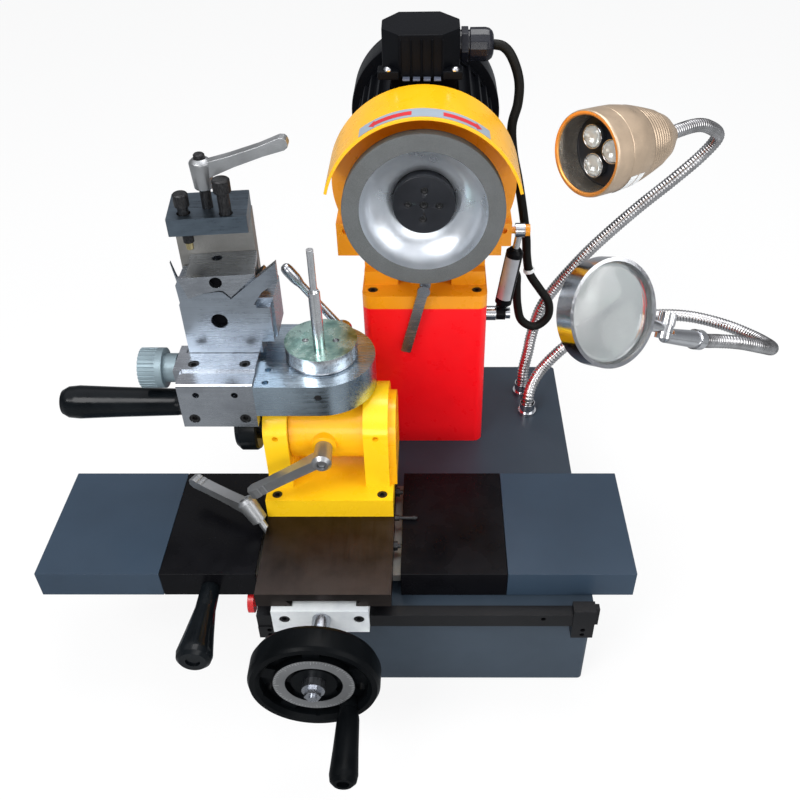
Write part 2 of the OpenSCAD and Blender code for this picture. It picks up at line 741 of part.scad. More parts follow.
module end_hub() color([0.04, 0.04, 0.04]) home() difference() {
    rotate([0, 0, 0]) translate([upl_a - 26, tilt_y, tilt_z]) rotate([0, 90, 0])
        rotate_extrude() polygon([
            [0, 0], [19, 0], [22.5, 4], [22.5, 16], [21, 18.5], [13, 18.5],
            [13, 25.9], [0, 25.9]
        ]);
    rod_x([upl_a - 12.1, tilt_y, tilt_z], shaft_r, 20);
}

module side_plate() color([1, 0.8, 0.12]) home() difference() {
    union() {
        span([upr_b, -70, slide_top + brk_base], [upr_b + 6, -14, tilt_z]);
        rod_x([upr_b, tilt_y, tilt_z], 28, 6);
    }
    rod_x([upr_b - 1, tilt_y, tilt_z], shaft_r + 0.3, 9);
    rod_x([upr_b + 3, -58, tilt_z - 32], 3, 4);
}

module lock_frame() {
    translate([car_x - slide_w / 2 - 6, -97, slide_top + 4.5]) rotate([0, 0, 150])
        rotate([0, slide_lean, 0]) children();
}

module slide_lock() color([0.6, 0.61, 0.63]) home() lock_frame() {
    clamp_lever(47.5, 41, 0);
    translate([0, 0, -14]) cylinder(h = 15, r = 3.2 - run_fit);
}

// ---------- tilting barrel and turntable ----------

module tilt_barrel() color([1, 0.78, 0.1]) home() difference() {
    union() {
        rod_x([upl_b + clear_gap, tilt_y, tilt_z], barrel_d / 2, upr_a - upl_b - 2 * clear_gap);
        rod_z([piv_x, piv_y, tilt_z + 16], 15, arm_z - tilt_z - 16);
        // pad that carries the clamping stud
        rod_y([piv_x, tilt_y - barrel_d / 2 - 4, tilt_z + 2], 10, 14);
    }
    rod_x([upl_b - 1, tilt_y, tilt_z], shaft_r + run_fit, upr_a - upl_b + 2);
    rod_y([piv_x, tilt_y - barrel_d / 2 - 5, tilt_z + 2], 4 + run_fit, 14);
    rod_z([piv_x, piv_y, tilt_z + 12], 7, 40);
}

module turntable() color([0.78, 0.79, 0.8]) home() {
    difference() {
        union() {
            translate([piv_x, piv_y, arm_top + clear_gap]) cylinder(h = 2.5, r = 20);
            translate([piv_x, piv_y, arm_top + 2.5]) cylinder(h = 12, r = 28.5);
            rod_z([piv_x, piv_y, tilt_z + 20], 7, arm_top - tilt_z - 14);
        }
        for (s = [-1, 1])
            rod_z([piv_x + 12 * s, piv_y - 1, arm_top + 8], 2.6, 10);
    }
    // index post
    rod_z([piv_x, piv_y - 9.8, arm_top + 14], 4.5, 50);
    translate([piv_x, piv_y - 9.8, arm_top + 64]) cylinder(h = 4, r1 = 4.5, r2 = 2.65);
    rod_z([piv_x, piv_y - 9.8, arm_top + 67], 2.65, 33);
}

module barrel_lock() color([0.6, 0.61, 0.63]) home()
    translate([piv_x, tilt_y - barrel_d / 2 - 4.4, tilt_z + 2]) rotate([90, 0, 0])
        rotate([0, 0, 204]) clamp_lever(64, 14, 8);

// ---------- swing arm and vise ----------

module swing_arm() color([0.7, 0.71, 0.73]) home() difference() {
    union() {
        rod_z([piv_x, piv_y, arm_z + clear_gap], arm_r, arm_t - clear_gap);
        span([arm_left, arm_front, arm_z + clear_gap], [piv_x, piv_y + arm_r, arm_top]);
    }
    rod_z([piv_x, piv_y, arm_z - 1], 7 + run_fit, arm_t + 2);
    rod_y([piv_x, arm_front - 1, arm_z + 18], 3, 9);
    rod_y([piv_x + 12, piv_y + arm_r - 12, arm_z + 20], 4 + run_fit, 14);
    for (y = [-70, -54])
        rod_z([arm_left + 9, y, arm_top - 6], 2.6, 7);
}

module vise_plate() color([0.68, 0.69, 0.71]) home() difference() {
    union() {
        // front plate with its top chamfered back
        translate([vp_l, -76, 0]) rotate([90, 0, 90]) linear_extrude(arm_left - vp_l)
            polygon([
                [0, vp_low], [0, vp_top - 1], [1, vp_top], [17, vp_top], [17, ledge_top],
                [38.2, ledge_top], [38.2, vp_low + 3], [35, vp_low]
            ]);
        span([-194, -60, 243], [vp_l + 1, -28, ledge_top]);
        // bed of the vise slide, with its keyway
        difference() {
            span([-187, -38.2, 243], [arm_left, piv_y + arm_r - 4, ledge_top]);
            span([-188, -26.3, ledge_top - 5], [arm_left + 1, -13.7, ledge_top + 1]);
        }
    }
    rod_x([-215, drum_y, drum_z - 2.5], 4 + run_fit, 60);
    for (x = [-179.4, -139.8])
        translate([x, -52, ledge_top]) cap_hole(2.5, 10);
    for (x = [-175, -145.4])
        rod_y([x, -77, 253], 2.6, 14);
    for (x = [-179.5, -140])
        translate([x, -76, 229.8]) rotate([90, 0, 0]) cap_hole(2.5, 9);
    rod_x([vp_l - 1, -48, vp_low + 8], 4, 18);
    // room for the round top of the bracket when the arm swings
    span([-160, -66, vp_low - 1], [arm_left + 1, -36, tilt_z + up_r + 1.5]);
}

module arm_screws() color([0.14, 0.14, 0.15]) home() {
    for (x = [-179.4, -139.8])
        translate([x, -52, ledge_top - 0.5]) cap_screw(2.48, 9);
    for (x = [-179.5, -140])
        translate([x, -75.5, 229.8]) rotate([90, 0, 0]) cap_screw(2.48, 8);
    // set screw in the arm front
    rod_y([piv_x, arm_front + 1, arm_z + 18], 2.95, 6);
}

module vise_handle() color([0.04, 0.04, 0.04]) home() {
    translate([-197, -48, vp_low + 2]) rotate([0, -90, 0]) taper_handle(10.5, 13.5, 95);
    rod_x([-198, -48, vp_low + 8], 3.95, 25);
}

module arm_lock() color([0.6, 0.61, 0.63]) home()
    translate([piv_x + 12, piv_y + arm_r + clear_gap, arm_z + 20]) rotate([-90, 0, 0])
        rotate([0, 0, -125]) clamp_lever(70, 0, 9, 9, 4.6, 0.6);

module v_block() color([0.75, 0.76, 0.77]) home() difference() {
    union() {
        span([vb_l, vb_front, ledge_top + clear_gap], [vb_r, vb_back, vb_top + 1]);
        // key that runs in the bed
        span([vb_l, -26, arm_top + slide_gap], [vb_r, -14, ledge_top + 1]);
        // V jaw: a steep left flank and a 45 degree right flank
        translate([0, v_front, 0]) rotate([90, 0, 180]) mirror([1, 0, 0])
            linear_extrude(v_back - v_front) polygon([
                [-185.5, v_low + 38], [-184, vb_top - 20], [-130, vb_top - 20],
                [-129.8, v_low + 4.5], [-108.5, v_low + 24], [-108.5, v_low + 37.5],
                [-141.5, v_low + 4.5], [-150, v_low + 1], [-163, v_low + 4],
                [-175.8, v_low + 4.5], [-181.5, v_low + 38]
            ]);
        // front cheek of the V, proud of the block, and the ends of its two flanks
        v_prism(cheek_front, vb_front + 0.1) polygon([
            [-184.8, v_low + 39.8], [-182.6, v_low + 29], [-179, v_low + 16],
            [-176.9, v_low + 9.1], [-164.9, v_low + 12.9], [-153, v_low + 14.7],
            [-150.2, v_low + 14], [-145.1, v_low + 8], [-133.9, v_low + 17.6],
            [-124.6, v_low + 18.3], [-124.6, v_low + 25.5], [-108.5, v_low + 39],
            [-108.5, v_low + 24.2], [-144.6, v_low - 4.6], [-146.9, v_low - 3.1],
            [-155.4, v_low + 1.2], [-164.9, v_low + 1.2], [-175.8, v_low],
            [-181.1, v_low], [-181.1, v_low + 10.7]
        ]);
        v_prism(cheek_front, v_front + 0.1) polygon([
            [-124.6, v_low + 11.4], [-124.6, v_low + 25.5], [-108.5, v_low + 39],
            [-108.5, v_low + 24.2]
        ]);
        v_prism(cheek_front, v_front + 0.1) polygon([
            [-184.8, v_low + 39.8], [-182.6, v_low + 29], [-179, v_low + 16],
            [-178.4, v_low + 9], [-181.1, v_low + 10.7]
        ]);
        // gib plate on the right side
        span([vb_r - 0.1, vb_front, 276], [-117.4, -31, 307]);
        span([vb_r - 0.1, -31, 276], [-115.5, vb_back, 312]);
    }
    rod_y([-157.3, vb_front - 1, 295.2], 6.4, 14);
    // index marks beside the bore
    for (s = [-1, 1])
        translate([-157.3 + s * 14.5, vb_front, 296]) rotate([0, s * 38, 0])
            cube([7, 0.8, 0.6], center = true);
    rod_x([vb_l - 1, vb_front + 12, ledge_top + 12], 3, 14);
}

// outline in x and z, drawn out from y0 to y1
module v_prism(y0, y1)
    translate([0, y0, 0]) rotate([90, 0, 180]) mirror([1, 0, 0])
        linear_extrude(y1 - y0) children();

module on_clamp() {
    translate([jl_x, jl_y, 0]) rotate([0, 0, jaw_yaw]) translate([-jl_x, -jl_y, 0])
        children();
}

module clamp_column() color([0.45, 0.46, 0.47]) home() on_clamp()
    span([jl_x - blk_w / 2 - 0.3, clp_front, vb_top + 1],
        [jl_x + blk_w / 2 + 0.3, clp_back, blk_z0]);

module top_block() color([0.16, 0.16, 0.17]) home() difference() {
    on_clamp() round_span([jl_x - blk_w / 2, blk_front, blk_z0],
        [jl_x + blk_w / 2, blk_back, blk_z1], 1.2);
    rod_z([jl_x, jl_y, blk_z0 - 1], jl_r + run_fit, 20);
    for (p = [screw_a, screw_b])
        rod_z([p[0], p[1], blk_z0 - 1], 5 + run_fit, 20);
}

module feed_drum() color([0.74, 0.75, 0.77]) home() {
    difference() {
        union() {
            rod_x([-223, drum_y, drum_z - 2.5], drum_r, 18.5);
            rod_x([-205, drum_y, drum_z - 2.5], 11.5, 10.6);
        }
        for (k = [0:29])
            rotate([0, 0, 0]) translate([-224, drum_y, drum_z - 2.5]) rotate([12 * k, 0, 0])
                translate([0, drum_r, 0]) rotate([0, 90, 0]) cylinder(h = 14, r = 0.7);
        rod_x([-224, drum_y, drum_z - 2.5], 6, 2);
    }
    rod_x([-196, drum_y, drum_z - 2.5], 4, 36);
}

module upper_jaw() color([0.62, 0.63, 0.65]) home() difference() {
    on_clamp() {
        // front lip, ahead of the V
        v_prism(cheek_front, vb_front + 0.5) jaw_lip();
        // body between the flanks of the V
        v_prism(vb_front + 0.3, clp_front - clear_gap) jaw_body();
    }
    rod_y([-154.3, vb_front - 12, 331], 4.6, 20);
    rod_z([jl_x, jl_y, 318], jl_r + run_fit, 30);
}

// front outline of the upper jaw, which follows the top of the cheek
module jaw_lip()
    polygon([
        [jaw_l, jaw_top], [jaw_r, jaw_top], [jaw_r, v_low + 19], [-136.7, v_low + 18.3],
        [-147.9, v_low + 8.8], [-152.8, v_low + 14.7], [-155.8, v_low + 15.4],
        [-167.7, v_low + 13.6], [-179.2, v_low + 9.8], [-180.9, v_low + 16.5]
    ]);

// outline behind the lip, drawn in between the flanks of the V
module jaw_body()
    polygon([
        [-178, jaw_top], [jaw_r, jaw_top], [jaw_r, v_low + 23.4], [-143, v_low + 10.5],
        [-149.5, v_low + 15.6], [-157, v_low + 16], [-166, v_low + 14.5],
        [-172.5, v_low + 11.5], [-173, v_low + 13.2]
    ]);

module guide_screws() color([0.12, 0.12, 0.13]) home() {
    translate([screw_a[0], screw_a[1], blk_z1 + 22.5]) cap_screw(4.97, blk_z1 - blk_z0 + 22.5);
    translate([screw_b[0], screw_b[1], blk_z1 + 11]) cap_screw(4.97, blk_z1 - blk_z0 + 11);
}

module jaw_lever() color([0.6, 0.61, 0.63]) home()
    translate([jl_x, jl_y, jl_z]) clamp_lever(63, 22, jl_z - 326, 19, 12.6);

// ---------- grinding head ----------

module motor_plate() color([0.95, 0.62, 0.08]) home() difference() {
    union() {
        intersection() {
            rod_y([head_x, plate_y0, cup_z], guard_r - guard_t - 0.1, plate_y1 - plate_y0);
            span([-90, plate_y0, 290.5], [90, plate_y1, cup_z + 90]);
        }
        span([head_x - 74.5, plate_y0, 290.5], [head_x + 73.5, plate_y1, 321]);
        span([head_x - 74.5, plate_y0, 303], [head_x - 60, plate_y1 + 12, 321]);
        span([head_x + 60, plate_y0, 303], [head_x + 73.5, plate_y1 + 12, 321]);
        // tilt lug between the ears
        span([head_x - 22.5, plate_y0 + 2, head_z], [head_x + 22.5, head_y + 12, 292]);
        rod_x([head_x - 22.5, head_y, head_z], 11, 45);
        // stud of the gas spring
        rod_x([head_x + 73, gas_b[1], gas_b[2]], 2.95, gas_b[0] + 6.5 - head_x - 73);
        rod_x([gas_b[0] + 4.4, gas_b[1], gas_b[2]], 5, 4);
    }
    rod_x([head_x - 30, head_y, head_z], pin_r + run_fit, 60);
    rod_y([head_x, plate_y0 - 1, cup_z], 20, 16);
    // corner cut away for the gas spring
    span([head_x + 65.5, plate_y0 - 9, 290], [head_x + 74, plate_y1 + 1, 299.5]);
    for (sx = [-1, 1])
        rod_y([head_x + sx * 67, plate_y0 - 1, 314], 2.6, 5);
}

module wheel_guard() color([1, 0.78, 0.1]) home()
    translate([head_x, guard_y1, cup_z]) rotate([90, 0, 0]) rotate([0, 0, 13.5])
        rotate_extrude(angle = 153)
            translate([guard_r - guard_t, 0]) square([guard_t, guard_y1 - guard_y0]);

module motor() color([0.05, 0.05, 0.055]) home() {
    translate([head_x, plate_y1, cup_z]) rotate([-90, 0, 0]) {
        difference() {
            union() {
                cylinder(h = 10, r = 60);
                cylinder(h = motor_y1 - plate_y1, r = motor_r - 4);
                translate([0, 0, 14])
                    for (k = [0:31])
                        rotate([0, 0, 11.25 * k + 5.6]) translate([motor_r - 6, -1.1, 0])
                            cube([6.5, 2.2, motor_y1 - plate_y1 - 24]);
                translate([0, 0, motor_y1 - plate_y1 - 8]) cylinder(h = 8, r = 60);
            }
            translate([0, 0, -1]) cylinder(h = 12, r = 11.5 + run_fit);
        }
        // fan cover
        translate([0, 0, motor_y1 - plate_y1]) difference() {
            rotate_extrude() polygon([
                [0, 0], [fan_r - 0.4, 0], [fan_r, 2], [fan_r, 40], [fan_r - 3, 48],
                [fan_r - 8, fan_y1 - motor_y1], [0, fan_y1 - motor_y1]
            ]);
            for (r = [18:9:54])
                translate([0, 0, fan_y1 - motor_y1 - 2]) difference() {
                    cylinder(h = 4, r = r + 2.4);
                    translate([0, 0, -1]) cylinder(h = 6, r = r - 2.4);
                }
        }
    }
    // saddle under the terminal box
    span([head_x - 26, 104, cup_z + motor_r - 8], [head_x + 26, 156, cup_z + 77]);
}

module terminal_box() color([0.05, 0.05, 0.055]) home() difference() {
    union() {
        round_span([-33.4, 100, cup_z + 77], [26.7, 160, cup_z + 98], 5);
        round_span([-32, 101.5, cup_z + 97], [25.3, 158.5, cup_z + 105], 5);
        round_span([-27, 106, cup_z + 104], [20.5, 154, cup_z + 109.5], 4);
        // cable gland
        rod_x([26, 130, cup_z + 90.8], 13, 8);
        translate([33, 130, cup_z + 90.8]) rotate([0, 90, 0]) cylinder(h = 7, r = 13.5, $fn = 6);
        translate([40, 130, cup_z + 90.8]) rotate([0, 90, 0]) cylinder(h = 13, r1 = 12.4, r2 = 9.5);
    }
    rod_x([40, 130, cup_z + 90.8], 4.6, 14);
    for (x = [-22, 15.5])
        translate([x, 130, cup_z + 105]) cylinder(h = 6, r = 3.4);
}

module motor_cable() color([0.06, 0.06, 0.06]) home()
    tube_along(concat([[42, 130, cup_z + 90.8], [50, 130, cup_z + 90.8]],
        smooth([for (i = [1:len(cable_path) - 1]) cable_path[i]], 3)), 4, 8, [0, 1, 0]);

module cable_entry() color([0.06, 0.06, 0.06]) home() {
    rod_x([col_right - 8.5, 103, 207], 7, 8.6);
    rod_x([col_right, 103, 207], 8.5, 2.4);
    rod_x([col_right, 103, 207], 4, 5.65);
}

module cup_wheel() color([0.5, 0.52, 0.53]) home() translate([head_x, cup_y, cup_z])
    rotate([-90, 0, 0]) {
        difference() {
            rotate_extrude() polygon([
                [25, 24], [cup_d / 2 - ring_w - 1, 7], [cup_d / 2 - ring_w, 0],
                [cup_d / 2 - 0.6, 0], [cup_d / 2, 0.6], [cup_d / 2, 9],
                [cup_d / 2 - 5, 16], [34, 32], [24.5, 32], [24.5, 24]
            ]);
        }
        difference() {
            union() {
                translate([0, 0, 13]) cylinder(h = 20, r = 24.9);
                translate([0, 0, 30]) cylinder(h = 42, r = 11.5);
            }
            translate([0, 0, 12.9]) cylinder(h = 5, r = 3.2);
            for (k = [0:3])
                rotate([0, 0, 90 * k + 3]) translate([12.2, 0, 12.9]) cylinder(h = 5, r = 3.2);
        }
    }

// ---------- gas spring and head lever ----------

module gas_bracket() color([0.72, 0.73, 0.74]) home() {
    x0 = col_right;
    rod_x([x0 - 8.5, gas_a[1], gas_a[2]], 2.95, gas_a[0] - x0 + 8.5 + 7);
    rod_x([x0, gas_a[1], gas_a[2]], 6.5, gas_a[0] - x0 - 4.6);
    rod_x([gas_a[0] + 4.4, gas_a[1], gas_a[2]], 5, 4);
}

// gas spring along +z from its lower eye
module on_gas() {
    translate(gas_a) rotate([0, gas_tilt, 0]) children();
}

module gas_cylinder() color([0.1, 0.07, 0.07]) home() difference() {
    union() {
        on_gas() {
            translate([0, 0, 8]) cylinder(h = 4, r1 = 4, r2 = 7.5);
            translate([0, 0, 12]) cylinder(h = gas_len - 33, r = 7.5);
            translate([0, 0, gas_len - 21]) cylinder(h = 3, r1 = 7.5, r2 = 5);
            translate([0, 0, 3]) cylinder(h = 6, r = 3);
        }
        rod_x([gas_a[0] - 4, gas_a[1], gas_a[2]], 6, 8);
    }
    rod_x([gas_a[0] - 9, gas_a[1], gas_a[2]], 2.95 + run_fit, 20);
    on_gas() translate([0, 0, 16]) cylinder(h = gas_len, r = 3 + run_fit);
}

module gas_rod() color([0.7, 0.71, 0.72]) home() difference() {
    union() {
        on_gas() translate([0, 0, 30]) cylinder(h = gas_len - 34, r = 3);
        rod_x([gas_b[0] - 4, gas_b[1], gas_b[2]], 6, 8);
    }
    rod_x([gas_b[0] - 9, gas_b[1], gas_b[2]], 3.6, 20);
}

module head_lever() color([0.7, 0.71, 0.72]) home() {
    rod_y([-2, 34, head_z - 2], 3.5, 32);
    rod_y([-2, 31, head_z - 2], 5.4, 3);
    translate([-2, 36, head_z - 2]) rotate([0, 14.5, 0]) rotate([90, 0, 0])
        translate([0, -29, -2.5]) linear_extrude(5) round_rect(8.8, 74, 1.4);
}

// ---------- magnifier ----------

// magnifier frame: lens axis along z, its joint on the +x side
module on_lens() {
    translate(lens_c) rotate([0, 0, lens_az]) rotate([0, 90 - lens_el, 0])
        rotate([0, 0, lens_arm]) children();
}

module magnifier() color([0.8, 0.8, 0.82]) home() on_lens() {
    difference() {
        union() {
            translate([0, 0, -8]) cylinder(h = 16, r = lens_r);
            translate([0, 0, -9.5]) cylinder(h = 3, r = lens_r - 1.2);
            translate([lens_r - 1.5, 0, 0]) rotate([0, 90, 0])
                cylinder(h = lens_reach - lens_r - 3, r1 = 5.4, r2 = 4.4);
            translate([lens_reach, 2.5, 0]) rotate([90, 0, 0]) cylinder(h = 5, r = 6.5);
        }
        translate([0, 0, -12]) cylinder(h = 30, r = lens_r - 2.8);
        translate([0, 0, -2.1]) cylinder(h = 4.2, r = lens_r - 1.6);
        translate([lens_reach, -2.5, 0]) rotate([90, 0, 0]) cylinder(h = 5, r = 9.5);
    }
    // pin and clamping knob
    translate([lens_reach, 4, 0]) rotate([90, 0, 0]) cylinder(h = 11, r = 2.5);
    translate([lens_reach, 2.9, 0]) rotate([-90, 0, 0]) difference() {
        cylinder(h = 9, r = 7);
        for (k = [0:7])
            rotate([0, 0, 45 * k]) translate([8, 0, -1]) cylinder(h = 12, r = 1.8);
    }
}

module magnifier_glass() color([0.7, 0.85, 0.8]) home() on_lens()
    translate([0, 0, -2]) cylinder(h = 4, r = lens_r - 1.7);

base_shell();
base_plate();
base_foot();
rear_rail();
way_beam();
column();
head_base();
head_pin();
head_screws();
stop_box();
neck_sockets();
lamp_neck();
lamp_head();
magnifier_neck();
gas_bracket();
cable_entry();
carriage_plate();
grey_covers();
black_covers();
bearing_block();
carriage_screws();
dovetail_way();
traverse_handle();
lead_screw();
handwheel();
handwheel_grip();
cross_slide();
swing_bracket();
slide_screws();
cross_shaft();
end_hub();
side_plate();
slide_lock();
tilt_barrel();
turntable();
barrel_lock();
swing_arm();
vise_plate();
arm_screws();
vise_handle();
arm_lock();
v_block();
clamp_column();
top_block();
feed_drum();
upper_jaw();
guide_screws();
jaw_lever();
motor_plate();
wheel_guard();
motor();
terminal_box();
motor_cable();
cup_wheel();
gas_cylinder();
gas_rod();
head_lever();
magnifier();
magnifier_glass();
stop_button();
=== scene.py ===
import math

import bpy
import bmesh
from mathutils import Matrix, Vector


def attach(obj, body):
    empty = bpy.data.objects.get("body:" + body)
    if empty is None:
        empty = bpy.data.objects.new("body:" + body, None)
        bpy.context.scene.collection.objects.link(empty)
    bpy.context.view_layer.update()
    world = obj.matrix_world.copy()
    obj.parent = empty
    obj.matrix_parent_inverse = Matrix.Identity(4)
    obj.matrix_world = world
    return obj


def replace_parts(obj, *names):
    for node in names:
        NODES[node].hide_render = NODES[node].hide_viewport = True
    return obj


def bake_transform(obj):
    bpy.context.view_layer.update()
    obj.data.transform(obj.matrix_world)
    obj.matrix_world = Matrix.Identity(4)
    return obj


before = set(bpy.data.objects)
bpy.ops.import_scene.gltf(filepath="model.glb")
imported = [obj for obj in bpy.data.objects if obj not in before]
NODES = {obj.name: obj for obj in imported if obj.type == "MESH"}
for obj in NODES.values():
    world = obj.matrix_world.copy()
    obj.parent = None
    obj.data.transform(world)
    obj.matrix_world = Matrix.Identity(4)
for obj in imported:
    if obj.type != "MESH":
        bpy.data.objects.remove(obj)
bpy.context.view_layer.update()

MM = 0.001
# Places below are measured from the middle of the base. The frame's origin lies under the
# middle of the whole outline, so everything made here is moved by HOME.
HOME = Vector((-0.00345, 0.0127, 0.0))

# ---------------------------------------------------------------- camera
PIXELS = 800
FOCAL = 883.8655                      # focal length in pixels
AXIS_PX = (429.926, 399.869)          # where the optical axis meets the picture
cam_data = bpy.data.cameras.new("camera")
cam_data.sensor_width = 36.0
cam_data.lens = FOCAL * 36.0 / PIXELS
cam_data.shift_x = (PIXELS / 2 - AXIS_PX[0]) / PIXELS
cam_data.shift_y = (AXIS_PX[1] - PIXELS / 2) / PIXELS
cam_data.clip_start = 0.01
camera = bpy.data.objects.new("camera", cam_data)
bpy.context.scene.collection.objects.link(camera)
camera.location = Vector((0.0065, -0.59645, 0.67847)) + HOME
camera.rotation_euler = [math.radians(a) for a in (50.443349, 0.18893, 0.18147)]
bpy.context.scene.camera = camera


# ---------------------------------------------------------------- materials
class Shader:
    """A small helper around one node tree, so that materials read as recipes."""

    def __init__(self, name):
        self.mat = bpy.data.materials.new(name)
        self.mat.use_nodes = True
        self.tree = self.mat.node_tree
        self.nodes = self.tree.nodes
        self.bsdf = self.nodes["Principled BSDF"]
        self.coord = self.nodes.new("ShaderNodeTexCoord").outputs["Object"]

    def link(self, a, b):
        self.tree.links.new(a, b)

    def set(self, **values):
        names = {
            "color": "Base Color", "metal": "Metallic", "rough": "Roughness", "ior": "IOR",
            "coat": "Coat Weight", "coat_rough": "Coat Roughness", "specular": "Specular IOR Level",
            "transmission": "Transmission Weight", "aniso": "Anisotropic",
            "glow": "Emission Strength", "glow_color": "Emission Color",
        }
        for key, value in values.items():
            if key in ("color", "glow_color") and len(value) == 3:
                value = (*value, 1.0)
            self.bsdf.inputs[names[key]].default_value = value

    def scaled(self, stretch):
        node = self.nodes.new("ShaderNodeMapping")
        node.inputs["Scale"].default_value = stretch
        self.link(self.coord, node.inputs["Vector"])
        return node.outputs["Vector"]

    def noise(self, scale, detail=4.0, stretch=None, rough=0.55):
        node = self.nodes.new("ShaderNodeTexNoise")
        node.inputs["Scale"].default_value = scale
        node.inputs["Detail"].default_value = detail
        node.inputs["Roughness"].default_value = rough
        self.link(self.scaled(stretch) if stretch else self.coord, node.inputs["Vector"])
        return node.outputs["Fac"]

    def ramp(self, fac, stops):
        node = self.nodes.new("ShaderNodeValToRGB")
        ramp = node.color_ramp
        while len(ramp.elements) < len(stops):
            ramp.elements.new(0.5)
        for element, (place, color) in zip(ramp.elements, stops):
            element.position = place
            element.color = (*color, 1.0) if len(color) == 3 else color
        self.link(fac, node.inputs["Fac"])
        return node.outputs["Color"]

    def range(self, fac, low, high, a=0.0, b=1.0, clamp=True):
        node = self.nodes.new("ShaderNodeMapRange")
        node.clamp = clamp
        for socket, value in zip(("From Min", "From Max", "To Min", "To Max"), (low, high, a, b)):
            node.inputs[socket].default_value = value
        self.link(fac, node.inputs["Value"])
        return node.outputs["Result"]

    def math(self, op, a, b=None):
        node = self.nodes.new("ShaderNodeMath")
        node.operation = op
        for socket, value in zip(node.inputs, (a, b)):
            if value is None:
                continue
            if isinstance(value, (int, float)):
                socket.default_value = value
            else:
                self.link(value, socket)
        return node.outputs[0]

    def mix(self, fac, a, b, mode="MIX"):
        node = self.nodes.new("ShaderNodeMix")
        node.data_type = "RGBA"
        node.blend_type = mode
        colour = [s for s in node.inputs if s.type == "RGBA"]
        for socket, value in zip((node.inputs["Factor"], colour[0], colour[1]), (fac, a, b)):
            if isinstance(value, (int, float)):
                socket.default_value = value
            elif isinstance(value, tuple):
                socket.default_value = (*value, 1.0) if len(value) == 3 else value
            else:
                self.link(value, socket)
        return [s for s in node.outputs if s.type == "RGBA"][0]

    def axis(self, name):
        node = self.nodes.new("ShaderNodeSeparateXYZ")
        self.link(self.coord, node.inputs[0])
        return node.outputs[name]

    def color(self, out):
        self.link(out, self.bsdf.inputs["Base Color"])

    def rough(self, out):
        self.link(out, self.bsdf.inputs["Roughness"])

    def bump(self, height, strength, distance=0.0004):
        node = self.nodes.new("ShaderNodeBump")
        node.inputs["Strength"].default_value = strength
        node.inputs["Distance"].default_value = distance
        self.link(height, node.inputs["Height"])
        self.link(node.outputs["Normal"], self.bsdf.inputs["Normal"])


def tone(rgb, k):
    return tuple(min(1.0, c * k) for c in rgb)


def paint(name, rgb, rough=0.32, peel=0.10, vary=0.10, coat=0.25, specular=0.5):
    """Sprayed enamel: slight orange peel, cloudy tone, a little dust in the gloss."""
    s = Shader(name)
    s.set(coat=coat, coat_rough=0.12, specular=specular)
    clouds = s.noise(9.0, 5.0)
    s.color(s.ramp(clouds, [(0.3, tone(rgb, 1 - vary)), (0.7, tone(rgb, 1 + vary))]))
    s.rough(s.range(s.noise(60.0, 6.0), 0.3, 0.75, rough - 0.06, rough + 0.12))
    s.bump(s.noise(650.0, 2.0), peel, 0.0003)
    return s.mat


def steel(name, rgb, rough=0.26, along="x", streak=0.07, grain=0.035, dark=0.72):
    """Ground steel: faint streaks along one direction under a cloudy oil film."""
    s = Shader(name)
    s.set(metal=1.0)
    stretch = {"x": (14.0, 520.0, 520.0), "y": (520.0, 14.0, 520.0), "z": (520.0, 520.0, 14.0)}[along]
    lines = s.noise(1.6, 3.0, stretch)
    film = s.noise(30.0, 6.0, None, 0.6)
    waves = s.noise(11.0, 2.0)
    base = s.ramp(lines, [(0.25, tone(rgb, 1 - streak)), (0.75, tone(rgb, 1 + streak))])
    cloud = s.ramp(film, [(0.32, (dark, dark, dark * 1.02)), (0.62, (1.0, 1.0, 1.0))])
    s.color(s.mix(1.0, base, cloud, "MULTIPLY"))
    s.rough(s.range(s.math("ADD", lines, film), 0.6, 1.4, rough - 0.08, rough + 0.14))
    s.bump(s.math("ADD", lines, s.math("MULTIPLY", waves, 14.0)), grain, 0.0002)
    return s.mat


def cast(name, rgb, rough=0.38, metal=0.85, grain=0.25, size=1500.0, specular=0.5):
    """Die-cast or bead-blasted metal with a fine grain."""
    s = Shader(name)
    s.set(metal=metal, specular=specular)
    grit = s.noise(size, 3.0)
    film = s.noise(40.0, 5.0)
    s.color(s.ramp(film, [(0.3, tone(rgb, 0.82)), (0.7, tone(rgb, 1.12))]))
    s.rough(s.range(s.math("ADD", grit, film), 0.7, 1.3, rough - 0.08, rough + 0.1))
    s.bump(grit, grain, 0.0003)
    return s.mat


def gloss_black(name, rgb=(0.008, 0.008, 0.009), rough=0.14, coat=0.6, specular=0.5):
    s = Shader(name)
    s.set(coat=coat, coat_rough=0.1, specular=specular)
    smear = s.noise(34.0, 6.0)
    s.color(s.ramp(smear, [(0.3, rgb), (0.75, tone(rgb, 1.9))]))
    s.rough(s.range(smear, 0.35, 0.7, rough, rough + 0.14))
    s.bump(s.noise(900.0, 2.0), 0.04, 0.0002)
    return s.mat


def oxide_screw(name):
    """Black oxide socket screw, fine knurl-like grain."""
    s = Shader(name)
    s.set(metal=0.7)
    grit = s.noise(1200.0, 2.0, (1.0, 1.0, 0.35))
    s.color(s.ramp(grit, [(0.3, (0.012, 0.012, 0.013)), (0.75, (0.05, 0.05, 0.052))]))
    s.rough(s.range(grit, 0.3, 0.7, 0.34, 0.52))
    s.bump(grit, 0.4, 0.0004)
    return s.mat


